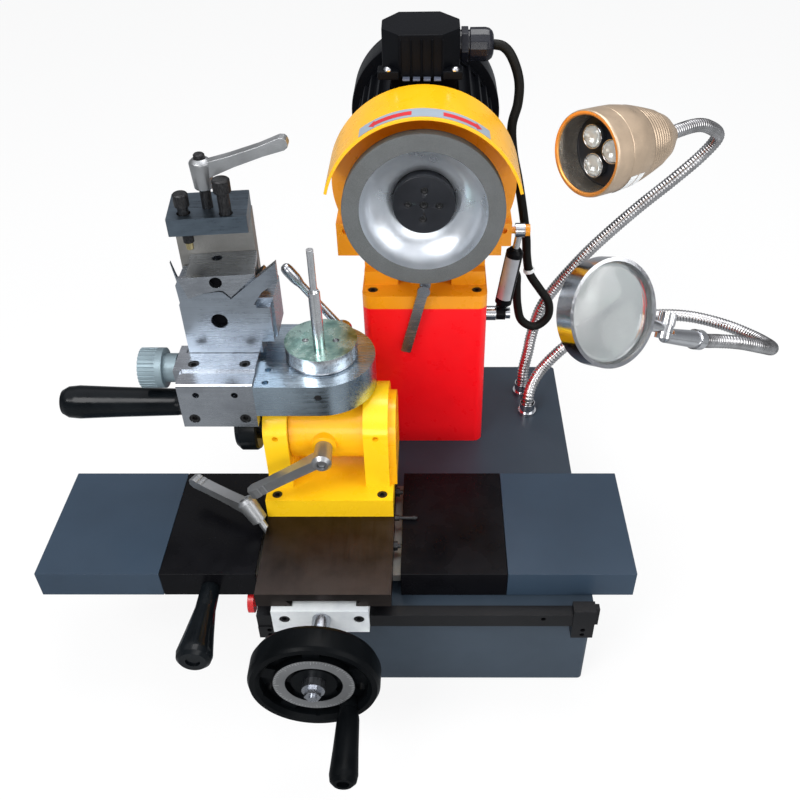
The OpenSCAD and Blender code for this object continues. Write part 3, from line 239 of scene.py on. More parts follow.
M = {
    "base": paint("paint_slate", (0.027, 0.045, 0.070), 0.36, 0.06, 0.12, 0.03, 0.2),
    "base_low": paint("paint_slate_low", (0.031, 0.045, 0.063), 0.38, 0.06, 0.12, 0.04, 0.25),
    "red": paint("paint_red", (0.95, 0.006, 0.012), 0.30, 0.05, 0.05, 0.10, 0.25),
    "yellow": paint("paint_yellow", (0.98, 0.47, 0.006), 0.27, 0.07, 0.06, 0.2, 0.4),
    "yellow_low": paint("paint_yellow_low", (1.0, 0.60, 0.010), 0.27, 0.07, 0.05, 0.2, 0.4),
    "yellow_guard": paint("paint_yellow_guard", (0.98, 0.47, 0.006), 0.27, 0.07, 0.06, 0.2, 0.4),
    "orange": paint("paint_orange", (0.86, 0.315, 0.007), 0.28, 0.08, 0.06, 0.2, 0.4),
    "black_sheet": gloss_black("paint_black", (0.0025, 0.0025, 0.0032), 0.2, 0.0, 0.08),
    "handle": gloss_black("bakelite_black", (0.003, 0.004, 0.005), 0.14, 0.0, 0.16),
    "steel": steel("steel_ground", (0.50, 0.53, 0.57), 0.22, "x"),
    "steel_arm": steel("steel_ground_arm", (0.52, 0.63, 0.72), 0.24, "x"),
    "steel_y": steel("steel_ground_y", (0.50, 0.52, 0.56), 0.24, "y"),
    "steel_z": steel("steel_ground_z", (0.54, 0.56, 0.59), 0.2, "z"),
    "steel_grey": steel("steel_grey", (0.40, 0.42, 0.45), 0.3, "x"),
    "steel_dark": steel("steel_dark", (0.17, 0.215, 0.26), 0.3, "x"),
    "slide": steel("steel_oiled", (0.046, 0.036, 0.032), 0.36, "y", 0.05, 0.02, 0.62),
    # bearing block: light aluminium colour, partly its own and partly a painted reflection, near white
    # with little metal so the polished top looks bright
    "alu": cast("aluminium_with_painted_reflection", (0.86, 0.91, 0.96), 0.5, 0.12, 0.1),
    "chrome": steel("chrome", (0.70, 0.71, 0.73), 0.12, "z", 0.04, 0.02, 0.85),
    "lever": cast("lever_cast", (0.40, 0.41, 0.42), 0.36, 0.85, 0.25),
    "drum": cast("drum_satin", (0.24, 0.31, 0.345), 0.5, 0.55, 0.25),
    "cast": cast("cast_grey", (0.24, 0.235, 0.22), 0.5, 0.6, 0.5, 700.0),
    "motor": cast("motor_black", (0.0035, 0.004, 0.0055), 0.36, 0.0, 0.3, 900.0, 0.07),
    "wheel_black": gloss_black("bakelite_wheel", (0.002, 0.0025, 0.003), 0.3, 0.0, 0.05),
    "steel_v": steel("steel_ground_v", (0.42, 0.47, 0.53), 0.26, "x"),
    "shade": cast("bore_shade", (0.004, 0.004, 0.005), 0.8, 0.0, 0.2, 900.0, 0.02),
    "screw": oxide_screw("black_oxide"),
    "rubber": cast("rubber_black", (0.005, 0.005, 0.004), 0.55, 0.0, 0.4, 500.0, 0.2),
    "beam": paint("paint_black_beam", (0.005, 0.005, 0.006), 0.36, 0.15, 0.3, 0.04, 0.2),
    "bronze": cast("bronze_turned", (0.60, 0.46, 0.33), 0.33, 0.62, 0.06),
    "brass": steel("brass", (0.60, 0.50, 0.26), 0.3, "z", 0.1, 0.05, 0.7),
    "red_plastic": paint("plastic_red", (0.62, 0.01, 0.012), 0.3, 0.06, 0.05, 0.2),
    "label": paint("label_white", (0.78, 0.80, 0.80), 0.5, 0.05, 0.04, 0.0),
}

LOOK = {
    "base_shell": "base_low", "base_plate": "base_low", "base_foot": "rubber", "rear_rail": "steel",
    "way_beam": "beam", "column": "red", "head_base": "orange", "head_pin": "steel",
    "head_screws": "screw", "stop_box": "chrome", "stop_button": "red_plastic",
    "neck_sockets": "chrome", "lamp_neck": "chrome", "magnifier_neck": "chrome",
    "lamp_head": "bronze", "gas_bracket": "chrome", "cable_entry": "rubber",
    "carriage_plate": "cast", "grey_covers": "base", "black_covers": "black_sheet",
    "bearing_block": "alu", "carriage_screws": "screw", "dovetail_way": "steel_y",
    "traverse_handle": "handle", "lead_screw": "steel_y", "handwheel": "wheel_black",
    "handwheel_grip": "wheel_black", "cross_slide": "slide", "swing_bracket": "yellow_low",
    "slide_screws": "screw", "cross_shaft": "steel", "end_hub": "handle",
    "side_plate": "yellow", "slide_lock": "lever", "tilt_barrel": "yellow",
    "turntable": "turntable", "barrel_lock": "lever", "swing_arm": "steel_arm", "vise_plate": "steel",
    "arm_screws": "screw", "vise_handle": "handle", "arm_lock": "chrome", "v_block": "steel",
    "clamp_column": "cast", "top_block": "steel_dark", "feed_drum": "drum",
    "upper_jaw": "steel", "guide_screws": "screw", "jaw_lever": "lever",
    "motor_plate": "orange", "wheel_guard": "yellow_guard", "motor": "motor", "terminal_box": "motor",
    "motor_cable": "rubber", "cup_wheel": "steel", "gas_cylinder": "black_sheet",
    "gas_rod": "chrome", "head_lever": "steel", "magnifier": "chrome", "magnifier_glass": "chrome",
}

def turntable_look():
    """Disc with a greenish oiled top, a bright scale ring and a clean post."""
    s = Shader("turntable_oiled")
    s.set(metal=1.0)
    film = s.noise(75.0, 6.0, None, 0.65)
    spots = s.noise(240.0, 3.0)
    top = s.ramp(s.math("ADD", film, s.math("MULTIPLY", spots, 0.25)), [
        (0.42, (0.16, 0.30, 0.27)), (0.58, (0.34, 0.56, 0.50)), (0.72, (0.52, 0.72, 0.66))])
    ring = s.ramp(film, [(0.3, (0.66, 0.67, 0.69)), (0.7, (0.86, 0.87, 0.88))])
    high = s.math("GREATER_THAN", s.axis("Z"), 0.27505)
    disc = s.math("LESS_THAN", s.axis("Z"), 0.2756)
    s.color(s.mix(s.math("MULTIPLY", high, disc), ring, top))
    s.rough(s.range(film, 0.3, 0.75, 0.16, 0.36))
    s.bump(spots, 0.05, 0.0002)
    return s.mat


M["turntable"] = turntable_look()

BEVEL = {"base_shell": 1.2, "grey_covers": 0.5, "black_covers": 0.4, "column": 0.6,
         "wheel_guard": 0.4, "motor": 0.25, "lamp_neck": 0, "magnifier_neck": 0, "motor_cable": 0,
         "magnifier_glass": 0, "cup_wheel": 0.25, "terminal_box": 0.5, "top_block": 0.5}


def dress(obj, material, bevel_mm=0.45):
    """Material on every slot, softened edges and clean shading, the mesh left as it is."""
    if not obj.material_slots:
        obj.data.materials.append(None)
    for slot in obj.material_slots:
        slot.link = "OBJECT"
        slot.material = material
    weld = obj.modifiers.new("weld", "WELD")
    weld.merge_threshold = 2e-6
    if bevel_mm:
        edge = obj.modifiers.new("edge", "BEVEL")
        edge.width = bevel_mm * MM
        edge.segments = 2
        edge.limit_method = "ANGLE"
        edge.angle_limit = math.radians(32)
        edge.use_clamp_overlap = True
        edge.miter_outer = "MITER_SHARP"
    shade = obj.modifiers.new("shade", "WEIGHTED_NORMAL")
    shade.mode = "FACE_AREA"
    shade.weight = 60
    shade.keep_sharp = False


for node_name, node_obj in NODES.items():
    dress(node_obj, M[LOOK[node_name]], BEVEL.get(node_name, 0.45))

# ---------------------------------------------------------------- helpers for new pieces
def link(obj):
    bpy.context.scene.collection.objects.link(obj)
    return obj


def piece(name, verts, faces, materials, body, face_material=None, smooth=True):
    mesh = bpy.data.meshes.new(name)
    mesh.from_pydata([tuple(v + HOME) for v in verts], [], faces)
    for m in materials:
        mesh.materials.append(M[m] if isinstance(m, str) else m)
    for i, poly in enumerate(mesh.polygons):
        poly.use_smooth = smooth
        if face_material:
            poly.material_index = face_material[i]
    mesh.validate()
    obj = link(bpy.data.objects.new(name, mesh))
    if body:
        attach(obj, body)
    return obj


def soften(obj, width_mm=0.0, segments=2, angle=30):
    if width_mm:
        edge = obj.modifiers.new("edge", "BEVEL")
        edge.width = width_mm * MM
        edge.segments = segments
        edge.limit_method = "ANGLE"
        edge.angle_limit = math.radians(angle)
    shade = obj.modifiers.new("shade", "WEIGHTED_NORMAL")
    shade.mode = "FACE_AREA"
    shade.weight = 60
    return obj


def frame_at(origin, axis, up=(0, 0, 1)):
    """Matrix whose z runs along axis, at origin, all in millimetres turned to metres."""
    z = Vector(axis).normalized()
    x = Vector(up).cross(z)
    if x.length < 1e-6:
        x = Vector((1, 0, 0)).cross(z)
    x.normalize()
    y = z.cross(x)
    m = Matrix((x, y, z)).transposed().to_4x4()
    m.translation = Vector(origin) * MM
    return m


class Build:
    """Collects lathes, prisms and boxes, in millimetres, into one mesh."""

    def __init__(self):
        self.verts, self.faces, self.mats = [], [], []

    def add(self, verts, faces, mat, place=None):
        base = len(self.verts)
        for v in verts:
            v = Vector(v) * MM
            self.verts.append(place @ v if place else v)
        self.faces += [tuple(base + i for i in f) for f in faces]
        self.mats += [mat] * len(faces) if isinstance(mat, int) else mat

    def lathe(self, profile, place, mats=0, steps=64, closed=False):
        """Profile of (radius, height) turned about the z axis of place."""
        verts, faces, tags = [], [], []
        for r, h in profile:
            for k in range(steps):
                a = 2 * math.pi * k / steps
                verts.append((r * math.cos(a), r * math.sin(a), h))
        rows = len(profile)
        spans = rows if closed else rows - 1
        for i in range(spans):
            j = (i + 1) % rows
            for k in range(steps):
                q = (k + 1) % steps
                faces.append((i * steps + k, i * steps + q, j * steps + q, j * steps + k))
                tags.append(mats if isinstance(mats, int) else mats[i])
        if not closed:
            first = mats if isinstance(mats, int) else mats[0]
            last = mats if isinstance(mats, int) else mats[-1]
            if profile[0][0] > 0.001:
                faces.append(tuple(range(steps))[::-1])
                tags.append(first)
            if profile[-1][0] > 0.001:
                faces.append(tuple((rows - 1) * steps + k for k in range(steps)))
                tags.append(last)
        self.add(verts, faces, tags, place)

    def prism(self, outline, h0, h1, place, mat=0):
        n = len(outline)
        verts = [(x, y, h0) for x, y in outline] + [(x, y, h1) for x, y in outline]
        faces = [tuple(range(n))[::-1], tuple(range(n, 2 * n))]
        faces += [(i, (i + 1) % n, n + (i + 1) % n, n + i) for i in range(n)]
        self.add(verts, faces, mat, place)

    def box(self, size, centre, place, mat=0):
        x, y, z = (s / 2 for s in size)
        outline = [(-x, -y), (x, -y), (x, y), (-x, y)]
        shifted = [(centre[0] + a, centre[1] + b) for a, b in outline]
        self.prism(shifted, centre[2] - z, centre[2] + z, place, mat)

    def finish(self, name, materials, body, slot=None, bevel=0.0, angle=30):
        obj = piece(name, self.verts, self.faces, materials, body, self.mats)
        mesh = obj.data
        bm = bmesh.new()
        bm.from_mesh(mesh)
        bmesh.ops.remove_doubles(bm, verts=bm.verts, dist=1e-7)
        bmesh.ops.recalc_face_normals(bm, faces=bm.faces)
        bm.to_mesh(mesh)
        bm.free()
        return soften(obj, bevel, 2, angle)


def smooth_route(points, steps):
    """Catmull-Rom curve through the points."""
    out, n = [], len(points) - 1
    for i in range(n):
        a, b, c, d = (Vector(points[max(0, min(n, j))]) for j in (i - 1, i, i + 1, i + 2))
        for k in range(steps):
            t = k / steps
            out.append(0.5 * (2 * b + (c - a) * t + (2 * a - 5 * b + 4 * c - d) * t * t
                              + (3 * b - a - 3 * c + d) * t ** 3))
    out.append(Vector(points[-1]))
    return out


def resample(points, step):
    """Points every step millimetres along a polyline."""
    out, carry = [points[0]], 0.0
    for a, b in zip(points, points[1:]):
        length = (b - a).length
        at = step - carry
        while at <= length:
            out.append(a.lerp(b, at / length))
            at += step
        carry = length - (at - step)
    out.append(points[-1])
    return out


def swept(points, radius_at, sides):
    """Ring vertices and faces along points, with a frame that doesn't twist."""
    verts, faces = [], []
    d = (points[1] - points[0]).normalized()
    side = d.orthogonal().normalized()
    for i, p in enumerate(points):
        a, b = points[max(0, i - 1)], points[min(len(points) - 1, i + 1)]
        d = (b - a).normalized()
        side = (side - d * side.dot(d)).normalized()
        up = d.cross(side)
        r = radius_at(i)
        for k in range(sides):
            t = 2 * math.pi * k / sides
            verts.append(p + r * math.cos(t) * side + r * math.sin(t) * up)
    for i in range(len(points) - 1):
        for k in range(sides):
            q = (k + 1) % sides
            faces.append((i * sides + k, i * sides + q, (i + 1) * sides + q, (i + 1) * sides + k))
    faces.append(tuple(range(sides))[::-1])
    faces.append(tuple((len(points) - 1) * sides + k for k in range(sides)))
    return [v * MM for v in verts], faces


# ---------------------------------------------------------------- ribbed necks along fixed routes
LAMP_ROUTE = [
    (97, 115, 105), (97, 115, 118), (98, 119, 130), (102, 127, 146), (105, 134, 160),
    (112, 142, 184), (123, 147, 203), (142, 148, 231), (163, 152, 255), (196, 158, 287),
    (228, 162, 316), (251, 166, 338), (259, 160, 358), (243, 142, 374), (226, 129, 380),
    (197, 103, 382.8)]
LENS_ROUTE = [
    (100, 83, 105), (100, 83, 118), (102, 88, 127), (107, 95, 135), (114, 102, 142),
    (125, 106, 154), (138, 110, 165), (160, 116, 176), (190, 121, 186), (222, 122, 192),
    (254, 117, 194), (284, 103, 194), (304, 82, 196), (311, 58, 203), (304, 34, 216),
    (286, 15, 232), (262, 3, 245), (241, -3, 251), (228.3, -11.4, 257.3), (214, -22, 266.5)]


def ribbed_neck(name, route, node, radius=5.9, pitch=2.9):
    points = resample(smooth_route(route, 14), pitch / 4)
    wave = (0.0, -0.42, -0.62, -0.42)
    verts, faces = swept(points, lambda i: radius + wave[i % 4], 18)
    obj = piece(name, verts, faces, ["neck"], "base")
    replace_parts(obj, node)
    return obj


def neck_material():
    s = Shader("neck_steel")
    s.set(metal=1.0)
    film = s.noise(70.0, 5.0)
    s.color(s.ramp(film, [(0.3, (0.42, 0.41, 0.41)), (0.7, (0.74, 0.74, 0.75))]))
    s.rough(s.range(film, 0.3, 0.7, 0.18, 0.34))
    s.bump(s.noise(1600.0, 2.0), 0.2, 0.0002)
    return s.mat


M["neck"] = neck_material()
ribbed_neck("lamp_gooseneck", LAMP_ROUTE, "lamp_neck")
ribbed_neck("lens_gooseneck", LENS_ROUTE, "magnifier_neck")


# ---------------------------------------------------------------- motor cable
CABLE_D = 8.0
CABLE_ROUTE = [
    (42, 130, 447.4), (50, 130, 447.4), (62, 129, 446), (70, 127, 437), (76, 125, 420),
    (76, 123, 402), (72, 121, 384), (74, 119, 362), (80, 117, 336), (86, 115, 306),
    (90, 114, 282), (92, 114, 262), (96, 114, 244), (106, 114, 228), (116, 114, 212),
    (116, 113, 196), (104, 112, 186), (91, 111, 194), (86, 110, 212), (84, 109, 232),
    (83, 108, 246), (78, 107, 253), (72, 106, 246), (71, 105, 230), (68.5, 104, 213),
    (63.5, 103, 207.6), (61, 103, 207), (58.5, 103, 207)]


def motor_cable():
    line = smooth_route(CABLE_ROUTE, 6)
    verts, faces = swept(line, lambda i: CABLE_D / 2, 20)
    cable = piece("motor_lead", verts, faces, ["rubber"], None)
    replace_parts(cable, "motor_cable")
    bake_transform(cable)
    tie = Build()
    tie.lathe([(4.05, -1.8), (5.0, -1.8), (5.2, -1.2), (5.2, 1.2), (5.0, 1.8), (4.05, 1.8)],
              frame_at((94.8, 114, 248), (3, 0, -18)), 0, 32, closed=True)
    tie.box((4.4, 3.4, 4.6), (5.6, 0, 0), frame_at((94.8, 114, 248), (3, 0, -18), (1, 0.4, 0)), 0)
    tie.finish("cable_tie", ["label"], "base", "rubber", 0.3)


motor_cable()


# ---------------------------------------------------------------- terminal housing
def terminal_housing():
    """Eight-sided cast box on the motor, ribbed at the front, with its cable gland."""
    b = Build()
    plan = [(-22, 153), (12, 154), (27, 134), (27, 110),
            (13.5, 94), (-20.5, 93), (-34, 109), (-34.5, 132)]
    b.prism(plan[::-1], 433.4, 466.0, None)
    for k in range(5):
        b.box((1.7, 1.8, 27.0), (-19.0 + 8.1 * k, 93.0, 449.5), None)
    for x0, x1 in ((-37.0, -20.5), (13.5, 29.0)):
        b.box((x1 - x0, 15.0, 6.5), ((x0 + x1) / 2, 96.0, 436.8), None)
    box = b.finish("terminal_housing", ["motor"], "head", "motor_black", 0.9)
    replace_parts(box, "terminal_box")
    gland = Build()
    along = frame_at((0, 130, 447.4), (1, 0, 0))
    gland.prism([(13.6 * math.cos(math.radians(60 * k + 8)), 13.6 * math.sin(math.radians(60 * k + 8)))
                 for k in range(6)], 28.5, 34.0, along)
    gland.lathe([(11.0, 26.0), (11.0, 35.2), (12.9, 35.4), (13.0, 47.5), (12.3, 50.6), (10.4, 53.0),
                 (7.6, 54.2), (4.6, 54.2), (4.6, 41.0), (0, 41.0)], along, 0, 14)
    gland.finish("cable_gland", ["gland"], "head", "motor_black", 0.4, 20)
    small = Build()
    for x, z in ((-29.0, 440.0), (23.0, 440.0)):
        place = Matrix.Translation(Vector((x, 91.5, z)) * MM)
        small.lathe([(3.3, 0.0), (3.3, 1.2), (2.9, 1.7), (2.2, 2.6), (1.2, 3.0), (0, 3.1)],
                    place, 0, 24)
    # four small fins at the front flange, in a lighter bluish grey than the black motor: a painted
    # highlight where their ends catch the light
    for k in range(4):
        small.box((5.4, 6.0, 1.4), (-14.9 + 8.1 * k, 89.0, 434.4), None, 1)
    small.finish("housing_screws", ["chrome", "fin_highlight"], "head", "chrome", 0.15)


M["gland"] = cast("gland_plastic", (0.009, 0.010, 0.016), 0.3, 0.0, 0.2, 900.0, 0.45)
# painted highlight colour for the lit ends of the motor's fins
M["fin_highlight"] = cast("fin_painted_highlight", (0.14, 0.16, 0.22), 0.4, 0.3, 0.1)
terminal_housing()

# ---------------------------------------------------------------- cup wheel
def abrasive():
    s = Shader("abrasive_ring")
    grain = s.noise(2600.0, 3.0, None, 0.7)
    patches = s.noise(60.0, 4.0)
    base = s.ramp(grain, [(0.3, (0.054, 0.059, 0.061)), (0.55, (0.120, 0.127, 0.130)),
                          (0.75, (0.225, 0.235, 0.24))])
    tint = s.ramp(patches, [(0.3, (0.86, 0.86, 0.84)), (0.7, (1.0, 1.0, 1.0))])
    s.color(s.mix(1.0, base, tint, "MULTIPLY"))
    s.rough(s.range(grain, 0.3, 0.7, 0.62, 0.86))
    s.bump(grain, 0.55, 0.0004)
    return s.mat


def cup_metal():
    """Bright turned aluminium: fine rings, strong sheen."""
    s = Shader("cup_turned")
    s.set(metal=0.75, aniso=0.3)
    film = s.noise(30.0, 4.0)
    s.color(s.ramp(film, [(0.3, (0.60, 0.65, 0.71)), (0.7, (0.80, 0.84, 0.89))]))
    s.rough(s.range(film, 0.3, 0.7, 0.24, 0.36))
    s.bump(s.noise(900.0, 2.0, (1.0, 4.0, 1.0)), 0.12, 0.0002)
    return s.mat


M["abrasive"] = abrasive()
M["cup"] = cup_metal()
HEAD_X, CUP_Y, CUP_Z = -1.3, 18.0, 356.6
wheel_axis = frame_at((HEAD_X, CUP_Y, CUP_Z), (0, 1, 0))


def carve(obj, cutter, overlapping=False):
    """Cuts the cutter piece out of obj, which may be made of overlapping solids, and removes it."""
    mod = obj.modifiers.new("cut", "BOOLEAN")
    mod.operation = "DIFFERENCE"
    mod.solver = "EXACT"
    mod.use_self = overlapping
    mod.object = cutter
    others = [m for m in obj.modifiers if m.name != "cut"]
    for m in others:
        m.show_viewport = False
    graph = bpy.context.evaluated_depsgraph_get()
    mesh = bpy.data.meshes.new_from_object(obj.evaluated_get(graph))
    obj.modifiers.remove(mod)
    for m in others:
        m.show_viewport = True
    obj.data = mesh
    bpy.data.objects.remove(cutter)


def cutter_from(build):
    mesh = bpy.data.meshes.new("cutter")
    mesh.from_pydata([tuple(v + HOME) for v in build.verts], [], build.faces)
    bm = bmesh.new()
    bm.from_mesh(mesh)
    bmesh.ops.remove_doubles(bm, verts=bm.verts, dist=1e-7)
    bmesh.ops.recalc_face_normals(bm, faces=bm.faces)
    bm.to_mesh(mesh)
    bm.free()
    return link(bpy.data.objects.new("cutter", mesh))


def cup_wheel():
    b = Build()
    bowl = [(24.9, 23.6), (30, 22.9), (37, 20.2), (43.5, 15.2), (47.6, 9.4), (49.4, 4.6), (49.9, 0.3)]
    ring = [(50.3, 0.0), (62.9, 0.0), (63.5, 0.6), (63.5, 9.0)]
    rear = [(63.0, 9.2), (58.5, 16), (46, 25), (34, 31), (24.6, 32)]
    profile = bowl + ring + rear
    tags = [0] * len(bowl) + [1] * len(ring) + [0] * len(rear)
    tags[len(bowl) - 1] = 1
    tags[len(bowl) + len(ring) - 1] = 0
    b.lathe(profile, wheel_axis, tags, 128, closed=True)
    wheel = b.finish("cup_and_ring", ["cup", "abrasive"], "spindle", "abrasive")
    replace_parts(wheel, "cup_wheel")
    hub = Build()
    hub.lathe([(0, 13.0), (23.9, 13.0), (24.8, 13.9), (24.8, 33), (11.5, 33), (11.5, 72), (0, 72)],
              wheel_axis, 0, 96)
    hub = hub.finish("wheel_hub", ["hub_black"], "spindle", "black_paint")
    spots = [(0, 0, 3.4)] + [(12.3 * math.cos(a), 12.3 * math.sin(a), 3.0)
                             for a in (math.radians(90 * k + 3) for k in range(4))]
    cut = Build()
    for x, y, r in spots:
        cut.lathe([(0, 12), (r, 12), (r, 15.2), (0, 15.2)],
                  wheel_axis @ Matrix.Translation((x * MM, y * MM, 0)), 0, 32)
    carve(hub, cutter_from(cut))
    screws = Build()
    for x, y, r in spots:
        place = wheel_axis @ Matrix.Translation((x * MM, y * MM, 0))
        screws.lathe([(1.25, 14.9), (1.45, 13.7), (r - 0.5, 13.7), (r - 0.15, 14.0), (r - 0.15, 15.1)],
                     place, 0, 24)
    screws.finish("hub_screws", ["screw"], "spindle", "dark_steel")


# ---------------------------------------------------------------- drill vise
FORWARD = (0, -1, 0)
FRONT = frame_at((0, 0, 0), FORWARD)      # outlines in x and z, drawn out towards the front
ARM_LEVER_AT = (-70.0, 8.4, 252.0)
JAW_SCREW_AT = (-157.3, -13.9, 394.5)     # underside of the jaw lever's hub
LONG_SCREW, SHORT_SCREW = (-142.5, -23.8), (-173.0, -23.5)
BORE_R, BORE_AT = 6.4, (-157.3, 295.2)    # bore in the cheek, in x and z
LEVER_REACH, LEVER_RISE = 63, 22


def bore_shade(name, r, at, body):
    """Dark disc at the bottom of a bore, which would otherwise mirror the sky."""
    b = Build()
    b.lathe([(0, 0), (r, 0), (r, 1.0), (0, 1.0)], frame_at(at, FORWARD), 0, 40)
    # painted shade: the dark disc stands for the darkness deep in the bore
    b.finish(name, ["shade"], body, "black_plastic")


def v_block():
    """Lower V block: front cheek with two wings, low flanks behind it, gib at the right."""
    b = Build()
    body = [(-185.6, 265.4), (-127.5, 265.4), (-127.5, 310.0), (-185.6, 310.0)]
    b.prism(body, -1.5, 37.8, FRONT)
    b.prism([(-185.6, 261.0), (-127.5, 261.0), (-127.5, 266.0), (-185.6, 266.0)], 14.0, 26.0, FRONT)
    flank = [(-185.4, 327.0), (-184.6, 309.0), (-130.0, 309.0), (-120.2, 323.5), (-123.5, 328.0),
             (-141.5, 313.2), (-150.0, 309.7), (-163.0, 312.7), (-175.8, 313.2), (-180.5, 327.0)]
    b.prism(flank, 9.4, 37.9, FRONT)
    cheek = [(-184.8, 348.5), (-182.6, 337.7), (-179.0, 324.7), (-176.9, 317.8), (-164.9, 321.6),
             (-153.0, 323.4), (-150.2, 322.7), (-145.1, 316.7), (-133.9, 326.3), (-124.6, 334.2),
             (-108.5, 347.7), (-108.5, 332.9), (-144.6, 304.1), (-146.9, 305.6), (-155.4, 309.9),
             (-164.9, 309.9), (-175.8, 308.7), (-181.1, 308.7), (-181.1, 319.4)]
    b.prism(cheek, 37.7, 40.6, FRONT)
    wing = [(-124.6, 320.1), (-124.6, 334.2), (-108.5, 347.7), (-108.5, 332.9)]
    b.prism(wing, 35.4, 37.8, FRONT)
    b.prism([(-127.6, 276.0), (-117.4, 276.0), (-117.4, 307.0), (-127.6, 307.0)], 31.0, 37.8, FRONT)
    b.prism([(-127.6, 276.0), (-115.5, 276.0), (-115.5, 312.0), (-127.6, 312.0)], -1.5, 31.0, FRONT)
    block = b.finish("v_block_ground", ["steel_v"], "vise", "ground_steel", 0.4, 20)
    cut = Build()
    cut.lathe([(0, 0), (BORE_R, 0), (BORE_R, 40), (0, 40)],
              frame_at((BORE_AT[0], -24, BORE_AT[1]), FORWARD), 0, 48)
    for side in (-1, 1):
        turn = Matrix.Rotation(math.radians(38 * side), 4, "Y")
        mark = Vector((BORE_AT[0] + 14.5 * side, -37.8, 296.0)) * MM
        cut.box((7.0, 0.8, 0.6), (0, 0, 0), Matrix.Translation(mark) @ turn)
    carve(block, cutter_from(cut), True)
    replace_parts(block, "v_block")
    bore_shade("bore_shade_low", 6.3, (BORE_AT[0], -31.0, BORE_AT[1]), "vise")
    bore_shade("bore_shade_jaw", 4.5, (-154.3, -35.5, 331.0), "jaw")


def socket_screw(b, at, shank_r, head_r, head_h, depth):
    """Cap screw whose head stands on at, with a hexagon socket."""
    place = Matrix.Translation(Vector(at) * MM)
    b.lathe([(0, -depth), (shank_r, -depth), (shank_r, 0.2)], place, 0, 32)
    b.lathe([(shank_r, 0), (head_r - 0.3, 0), (head_r, 0.4), (head_r, head_h - 0.9),
             (head_r - 0.8, head_h), (head_r * 0.62, head_h)], place, 0, 48)
    b.lathe([(head_r * 0.62, head_h), (head_r * 0.6, head_h - 3.2), (0, head_h - 3.4)], place, 0, 6)


def guide_screws():
    """The two cap screws of the top block, the short one with a brass tip."""
    b = Build()
    socket_screw(b, (*LONG_SCREW, 395.6), 4.4, 6.4, 9.9, 29.6)
    socket_screw(b, (*SHORT_SCREW, 384.6), 4.0, 5.5, 9.9, 28.6)
    b.lathe([(0, 350.0), (2.4, 350.0), (2.8, 350.9), (2.8, 356.4), (0, 356.4)],
            Matrix.Translation(Vector((*SHORT_SCREW, 0)) * MM), 1, 32)
    screws = b.finish("guide_cap_screws", ["screw", "brass"], "vise", "dark_steel", 0.15)
    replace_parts(screws, "guide_screws")


def arm_lever():
    """Round bar lever behind the arm, with a rounded knob at its end."""
    b = Build()
    foot = Vector(ARM_LEVER_AT)
    b.lathe([(0, 0.0), (6.6, 0.0), (6.9, 0.8), (7.6, 7.6), (6.8, 8.8), (4.2, 9.4), (0, 9.4)],
            frame_at(foot, (0, 1, 0)), 0, 40)
    lean = math.radians(125)              # from x, towards z
    along = frame_at(foot + Vector((0, 4.6, 0)), (math.cos(lean), 0, math.sin(lean)), (0, 1, 0))
    b.lathe([(0, 2.0), (3.6, 2.0), (3.2, 30.0), (3.3, 54.0), (4.2, 57.6), (4.7, 61.0), (4.8, 70.0),
             (4.2, 73.4), (2.6, 75.2), (0, 75.6)], along, 0, 32)
    b.lathe([(0, -9.0), (4.0, -9.0), (4.0, 0.4), (0, 0.4)], frame_at(foot, (0, 1, 0)), 0, 32)
    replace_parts(b.finish("arm_bar_lever", ["steel_z"], "arm_clamp", "chrome", 0.2, 40), "arm_lock")


def jaw_lever():
    """Clamp lever: tapered hub, black cap screw, and an arm rising outwards."""
    b = Build()
    place = Matrix.Translation(Vector(JAW_SCREW_AT) * MM)
    b.lathe([(0, -0.4), (6.4, -0.4), (6.9, 0.2), (8.0, 18.4), (7.6, 19.6), (5.4, 21.6), (4.2, 22.0),
             (4.2, 19.8), (0, 19.8)], place, 0, 48)
    arm = math.hypot(LEVER_REACH, LEVER_RISE)
    outline = [(0, -6), (arm * 0.35, -4.2), (arm * 0.7, -3.8), (arm - 4, -4.6),
               (arm - 1, -3.4), (arm, -1.6), (arm, 1.8), (arm - 1, 3.6),
               (arm - 4, 4.8), (arm * 0.7, 3.9), (arm * 0.35, 4.4), (0, 6)]
    tilt = FRONT @ Matrix.Rotation(math.atan2(LEVER_RISE, LEVER_REACH), 4, "Z")
    b.prism(outline, -4.3, 4.3, place @ Matrix.Translation(Vector((0, 0, 12.6)) * MM) @ tilt)
    lever = b.finish("jaw_clamp_lever", ["lever"], "jaw_screw", "lever_grey", 0.9, 25)
    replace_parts(lever, "jaw_lever")
    dark = Build()
    socket_screw(dark, (*JAW_SCREW_AT[:2], 414.4), 2.6, 4.0, 5.4, 1.0)
    # the stud under the hub is black: partly a black-oxide stud, partly painted shade for the shadow
    # and dark reflection under the hub
    dark.lathe([(0, -15.6), (4.0, -15.6), (4.0, 0.4), (0, 0.4)], place, 0, 32)
    dark.finish("jaw_screw_and_shaded_stud", ["screw"], "jaw_screw", "dark_steel", 0.12)


v_block()
guide_screws()
jaw_lever()
arm_lever()

M["hub_black"] = gloss_black("hub_black", (0.008, 0.009, 0.012), 0.3, 0.1, 0.3)
cup_wheel()


# ---------------------------------------------------------------- lamp head
def led_glass():
    s = Shader("led_lens")
    s.set(transmission=0.7, rough=0.08, ior=1.5, color=(0.9, 0.92, 0.9))
    s.bump(s.noise(400.0, 2.0), 0.1, 0.0002)
    return s.mat


LAMP_MOUTH, LAMP_DIRECTION = (122, 43, 393), (80, 64, -11)
LED_CIRCLE_R, LED_TURN = 12.6, 43


